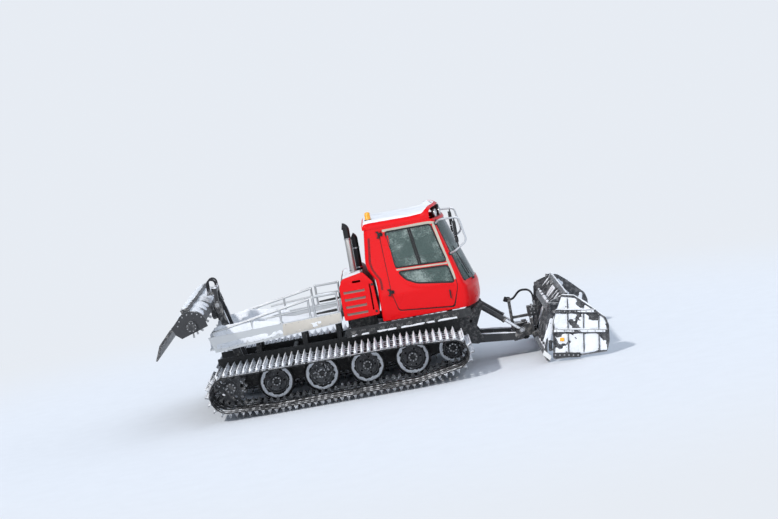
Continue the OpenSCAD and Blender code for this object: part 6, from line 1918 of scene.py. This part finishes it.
    def guards(self) -> None:
        """Grilles on the skirts, a rolled lower edge, and snow along the shelf."""
        studs = []
        y = -0.985
        for i in range(12):
            x0 = -0.560 + 0.060 + i * 0.160
            spot = np.stack(np.meshgrid(np.linspace(x0 + 0.008, x0 + 0.102, 7), [y + 0.004],
                                        np.linspace(0.960, 1.005, 4)), -1).reshape(-1, 3)
            studs.append(copies(box((-0.0055, -0.0035, -0.0045), (0.0055, 0.006, 0.0045)), spot))
            studs.append(box((x0 - 0.006, y + 0.009, 0.949), (x0 + 0.116, y + 0.0125, 1.016)))
        lip = rod((-0.556, y - 0.001, 0.912), (1.44, y - 0.001, 0.912), 0.006, 10)
        x = np.linspace(-0.52, 1.36, 70)[:, None]
        shelf = xyz(x, np.linspace(-0.968, -0.52, 26)[None], 0.919)
        wall = xyz(x, y, np.linspace(0.906, 0.955, 8)[None])
        lumps = [crust(shelf, (0, 0, 1), 31.0, 0.022, 0.25, 5.0),
                 crust(wall, (0, -1, 0), 36.0, 0.006, 0.4, 9.0, 0.004)]
        for side in SIDES:
            piece(f"skirt_grilles_{side}", join(studs).on(side), TOOL_BLACK, "chassis", angle=30)
            piece(f"skirt_lips_{side}", lip.on(side), TRIM, "chassis", angle=30)
            piece(f"skirt_snow_{side}", join(lumps).on(side), SNOW, "chassis", angle=70)

    def build(self) -> None:
        """Makes the bed and the guards."""
        self.load()
        self.rails()
        self.guards()
        repaint(ALLOY, "bed_deck", "bed_rails")
        repaint(FRAME_BLACK, "track_guards")


# ---------------------------------------------------------------- mirrors, lamps, wipers and beacon


@dataclass
class Fittings:
    """What stands on the cab."""

    cab: Cab = field(default_factory=Cab)
    mirror_x: float = 1.550
    mirror_y: float = -1.180
    visor_x: float = 1.356
    lamp_y: tuple = (-0.700, -0.430, 0.430, 0.700)
    lamp_z: float = 2.730
    beacon: tuple = (0.132, -0.600, 2.790)

    def facing_back(self, shape: Shape) -> Shape:
        """A plate made in side view, turned to face back at the right mirror's place."""
        p = shape.points
        return facing_out(Shape(xyz(self.mirror_x - p[:, 1], self.mirror_y + p[:, 0], p[:, 2]), shape.faces))

    def mirrors(self) -> None:
        """Frosted tube guards with their feet, two mirrors a side on stems, and snow."""
        y = self.mirror_y
        high_y, low_y = (-float(self.cab.half(z)) for z in (2.56, 2.04))
        path = bent([[1.246, high_y + 0.008, 2.560], [1.330, y, 2.640], [1.640, y, 2.620], [1.712, y, 2.206],
                     [1.500, y, 2.070], [1.408, low_y + 0.008, 2.020]], 0.07, 8)
        guard = sweep(path, circle(0.016, 16), (0.1, 0.2, 0.05))
        shell, faces = [], []
        for z0, z1, w in ((2.330, 2.570, 0.105), (2.205, 2.310, 0.085)):
            line = rounded([[-w, z0], [-w, z1], [w, z1], [w, z0]], 0.035, 6)
            shell.append(self.facing_back(pillow(line, 0.028, -0.030, 0.022, 5)))
            faces.append(self.facing_back(slab(inset(line, 0.008), 0.0275, 0.0305)))
        stem = [rod((1.560, y, 2.300), (1.560, y, 2.622), 0.010, 14),
                rod((1.560, y, 2.225), (1.560, y, 2.120), 0.010, 14)]
        stem += [rod((1.545, y, z), (1.575, y, z), 0.019, 16, 0.003) for z in (2.345, 2.555)]
        stem += [rod((1.246, high_y - 0.002, 2.560), (1.254, high_y - 0.014, 2.566), 0.032, 20, 0.003),
                 rod((1.408, low_y - 0.002, 2.020), (1.412, low_y - 0.014, 2.023), 0.032, 20, 0.003)]
        pale_patch = [ridge(path[9:17] + [0, 0, 0.012], 0.012, 0.010, 3.0)]
        guards, shells, glasses, stems, snow = (both(join(x)) for x in ([guard], shell, faces, stem, pale_patch))
        piece("mirror_guards", guards, FROSTED, "chassis", replaces=["mirrors"], angle=40)
        piece("mirror_shells", shells, TRIM, "chassis", angle=40)
        piece("mirror_faces", glasses, CHROME, "chassis", angle=30)
        piece("mirror_stems", stems, TRIM, "chassis", angle=35)
        piece("mirror_snow", snow, SNOW, "chassis", angle=70)

    def lamps(self) -> None:
        """Four work lamps on the visor, each a round body with a lens and a rim, and the beacon."""
        bodies, rims, lenses = [], [], []
        d = self.cab.plan_r
        for y in self.lamp_y:
            x = self.visor_x - (d - math.sqrt(d * d - y * y)) - 0.012
            angle = math.asin(y / d)
            axis = (math.cos(angle), math.sin(angle), 0.0)
            at = (x, y, self.lamp_z)
            bodies.append(drum([[CORE, 0.0], [0.040, 0.0], [0.056, 0.010], [0.062, 0.030], [0.065, 0.036],
                                [0.065, 0.058], [CORE, 0.058]], at, axis, 32))
            rims.append(lathe([[0.056, 0.054], [0.066, 0.054], [0.066, 0.064], [0.063, 0.067],
                               [0.057, 0.066], [0.055, 0.062]], at, axis, 36))
            lenses.append(drum([[CORE, 0.056], [0.056, 0.056], [0.056, 0.061], [0.040, 0.064],
                                [CORE, 0.066]], at, axis, 32))
        piece("lamp_bodies", join(bodies), TRIM, "chassis", replaces=["roof_lamps"], angle=35)
        piece("lamp_rims", join(rims), STEEL, "chassis", angle=35)
        piece("lamp_lenses", join(lenses), LENS, "chassis", angle=40)
        dome = [[CORE, 0.016], [0.052, 0.016]]
        for k in range(9):
            z, taper = 0.020 + k * 0.011, 0.00036 * k
            dome += [[0.0515 - taper, z], [0.0490 - taper, z + 0.0055]]
        dome += [[0.046, 0.122], [0.036, 0.136], [0.018, 0.1415], [CORE, 0.142]]
        piece("beacon_dome", drum(dome, self.beacon, (0, 0, 1), 40), AMBER, "chassis", replaces=["beacon"],
              angle=40)
        base = drum([[CORE, -0.012], [0.062, -0.012], [0.063, -0.006], [0.063, 0.008], [0.057, 0.017],
                     [CORE, 0.017]], self.beacon, (0, 0, 1), 36)
        piece("beacon_base", base, TRIM, "chassis", angle=40)

    def on_screen(self, y: Array, z: Array, out: float) -> Array:
        """Places on the windscreen's outside, moved forward by out."""
        return xyz(self.cab.screen_x(y, z, 0.020) + out, y, z)

    def wipers(self) -> None:
        """Two wipers on the windscreen, and ribbed strips up the cab's rear corners."""
        arms, blades = [], []
        arm = np.array([[-0.011, -0.004], [0.011, -0.004], [0.009, 0.004], [-0.009, 0.004]])
        blade = np.array([[-0.007, -0.006], [0.007, -0.006], [0.004, 0.010], [-0.004, 0.010]])
        pivot = [[CORE, -0.02], [0.020, -0.02], [0.020, 0.030], [0.016, 0.036], [CORE, 0.037]]
        t = np.linspace(0, 1, 26)
        for s in (-1, 1):
            path = self.on_screen(s * (0.58 + 0.10 * t), 1.512 + 0.40 * t, 0.030)
            arms.append(sweep(path, arm, (1, 0, 0.3), scale=np.linspace(1.25, 0.75, 26)))
            arms.append(drum(pivot, self.on_screen(s * 0.58, 1.512, 0.004), (0.95, s * 0.25, 0.33), 20))
            path = self.on_screen(s * (0.66 + 0.03 * t), 1.60 + 0.52 * t, 0.010)
            blades.append(sweep(path, blade, (1, 0, 0.3)))
        piece("wiper_arms", join(arms), TRIM, "chassis", angle=35)
        piece("wiper_blades", join(blades), SEAL, "chassis", angle=35)
        ribs = []
        for z in np.linspace(1.62, 2.50, 45):
            x, y = float(self.cab.rear_x(z)), -float(self.cab.half(z))
            ribs.append(box((x + 0.060, y - 0.005, z - 0.006), (x + 0.098, y + 0.006, z + 0.006)))
        piece("rear_corner_strips", both(join(ribs)), TRIM, "chassis", bevel=0.002)

    def build(self) -> None:
        """Makes every fitting."""
        self.mirrors()
        self.lamps()
        self.wipers()


# ---------------------------------------------------------------- rear tool


@dataclass
class RearTool:
    """The raised tiller: its cover's snow, comb, rotor teeth, arms and hoses."""

    rotor: tuple = (-3.020, 1.676)
    tip: float = math.radians(17.0)
    half: float = 2.0
    arm_top: tuple = (-2.680, 1.800)
    arm_foot: tuple = (-2.400, 0.560)

    def hoses(self) -> None:
        """Thick hoses arching from the mast down to the tiller's cover shelf."""
        x0, z0 = self.arm_top[0] + 0.015, self.arm_top[1] + 0.280
        x1, z1 = self.arm_top[0] - 0.135, self.arm_top[1] + 0.190
        mid = (x0 + x1) / 2
        runs, ends = [], []
        ferrule = [[CORE, 0.0005], [0.020, 0.0005], [0.020, 0.012], [0.0165, 0.016], [0.0165, 0.050],
                   [CORE, 0.050]]
        a = np.linspace(0, np.pi, 22)
        for y in (-0.190, -0.130, 0.130, 0.190):
            arch = xyz(mid + (x0 - mid) * np.cos(a), y, z0 + 0.070 + (x0 - mid) * np.sin(a))
            path = np.concatenate([[[x0, y, z0 + 0.002], [x0, y, z0 + 0.04]], arch,
                                   [[x1, y, z1 + 0.06], [x1, y, z1 + 0.002]]])
            runs.append(sweep(path, circle(0.0138, 14), (0, 1, 0)))
            ends += [drum(ferrule, (x, y, z), (0, 0, 1), 12) for x, z in ((x0, z0), (x1, z1))]
        piece("rear_hose_runs", join(runs), HOSE, "tiller_frame", replaces=["rear_hoses"], angle=50)
        piece("rear_hose_fittings", join(ends), STEEL, "tiller_frame", angle=35)

    def spot(self, u: Array, v: Array, y: Array) -> Array:
        """Places from the tiller's own axes: u ahead of the rotor, v over it, turned up by the tip."""
        c, s = math.cos(self.tip), math.sin(self.tip)
        return xyz(self.rotor[0] + c * u - s * v, y, self.rotor[1] + s * u + c * v)

    def way(self, u: float, v: float) -> Array:
        """A direction from the tiller's own axes."""
        return self.spot(u, v, 0.0) - self.spot(0.0, 0.0, 0.0)

    def cover(self) -> None:
        """Snow on the arched cover and its shelf, bolts along the edges, and the comb's fingers."""
        a = np.radians(np.linspace(15, 165, 30))[:, None]
        run = np.linspace(-self.half + 0.03, self.half - 0.03, 130)
        y = np.linspace(-self.half + 0.03, self.half - 0.03, 120)[None]
        r = 0.258
        arch = self.spot(r * np.cos(a), r * np.sin(a), y)
        lumps = [crust(arch, arch - self.spot(0.0, 0.0, y), 41.0, 0.016, 0.22, 5.0),
                 ridge(self.spot(0.020, 0.319, run), 0.055, 0.024, 3.0)]
        front = np.linspace(0, 1, 8)[:, None]
        lumps.append(crust(self.spot(-0.31 - 0.28 * front, 0.112 - 0.15 * front, y), self.way(-0.4, 1.0),
                           46.0, 0.012, 0.35, 5.0))
        piece("tiller_snow", join(lumps), SNOW, "tiller", angle=70)
        heads = [bolts(self.spot(0.0905, 0.285, run[::6]), self.way(1.0, 0.0), 0.011, 0.010)]
        ring = np.radians(np.linspace(0, 360, 8, endpoint=False))
        edge = np.radians(np.linspace(20, 150, 7))
        for s in (-1, 1):
            bearing = self.spot(0.072 * np.cos(ring), 0.072 * np.sin(ring), s * 2.1125)
            heads.append(bolts(bearing, (0, s, 0), 0.010, 0.010))
            cheek = self.spot(0.232 * np.cos(edge), 0.215 * np.sin(edge), s * 2.074)
            heads.append(bolts(cheek, (0, s, 0), 0.010, 0.009))
        piece("tiller_bolts", join(heads), STEEL, "tiller", angle=30)
        fingers = [rod(self.spot(-0.600, -0.036, y0), self.spot(-0.778, -0.240, y0), 0.009, 6)
                   for y0 in np.arange(-self.half + 0.05, self.half - 0.04, 0.052)]
        piece("comb_fingers", facing_out(join(fingers)), TRIM, "tiller", angle=30)

    def rotor_teeth(self) -> None:
        """Hard tips and their feet on every tooth of the rotor, three teeth a row."""
        pitch = 0.150
        rows = (2 * 2.060 - 0.120) // pitch
        at, turn = [], []
        for i in range(int(rows) + 1):
            for k in range(3):
                a = math.radians(-(k * 120 + i * 37))
                w = np.array([math.sin(a), 0.0, -math.cos(a)])
                u = np.array([math.cos(a), 0.0, math.sin(a)])
                at.append(np.array([self.rotor[0], (i - rows / 2) * pitch, self.rotor[1]]) + w * 0.150)
                turn.append(np.stack([u, [0, 1, 0], w], -1))
        tip = join([box((-0.0165, -0.0105, 0.018), (0.0165, 0.0105, 0.0495)),
                    box((-0.020, -0.013, -0.052), (0.020, 0.013, -0.036))])
        piece("rotor_tips", facing_out(copies(tip, np.array(at), np.array(turn))), STEEL, "rotor",
              bevel=0.0015)

    def arms(self) -> None:
        """Pin caps and snow of the arms, and snow on the mast."""
        caps, lumps = [], []
        for s in (-1, 1):
            for x, z in (self.arm_top, self.arm_foot):
                caps.append(pin_cap((x, s * 0.4105, z), (0, s, 0), 0.038, 0.012))
            low, top = ([x, s * 0.365, z] for x, z in (self.arm_foot, self.arm_top))
            arm = between(low, top, np.linspace(0.1, 0.9, 60))
            lumps.append(ridge(arm + [0.062, 0, 0.012], 0.026, 0.012, 4.0 + s, (0.97, 0, 0.22)))
        piece("arm_pin_caps", join(caps), STEEL, "rear_arms", angle=35)
        piece("arm_snow", join(lumps), SNOW, "rear_arms", angle=70)
        x0, x1 = self.arm_top[0] - 0.032, self.arm_top[0] + 0.030
        top = self.arm_top[1] + 0.280
        cap = ridge(xyz((x0 + x1) / 2, np.linspace(-0.31, 0.31, 50), top), 0.034, 0.022, 6.0)
        piece("mast_snow", cap, SNOW, "tiller_frame", angle=70)

    def build(self) -> None:
        """Makes the rear tool."""
        self.hoses()
        self.cover()
        self.rotor_teeth()
        self.arms()
        repaint(TOOL_BLACK, "rear_arms", "rear_barrel", "tiller_frame", "tiller_housing")
        repaint(CHROME, "rear_rod")
        repaint(ROTOR, "tiller_rotor")


# ---------------------------------------------------------------- the whole machine


def main() -> None:
    """Builds every class in order and reports each piece."""
    logging.basicConfig(level=logging.INFO, format="%(name)s %(message)s")
    Studio().build()
    RunningGear().build()
    Cab().build()
    EngineBay().build()
    Bed().build()
    Fittings().build()
    FrontTool().build()
    RearTool().build()
    repaint(FRAME_BLACK, "chassis_frame")


if __name__ == "__main__":
    main()
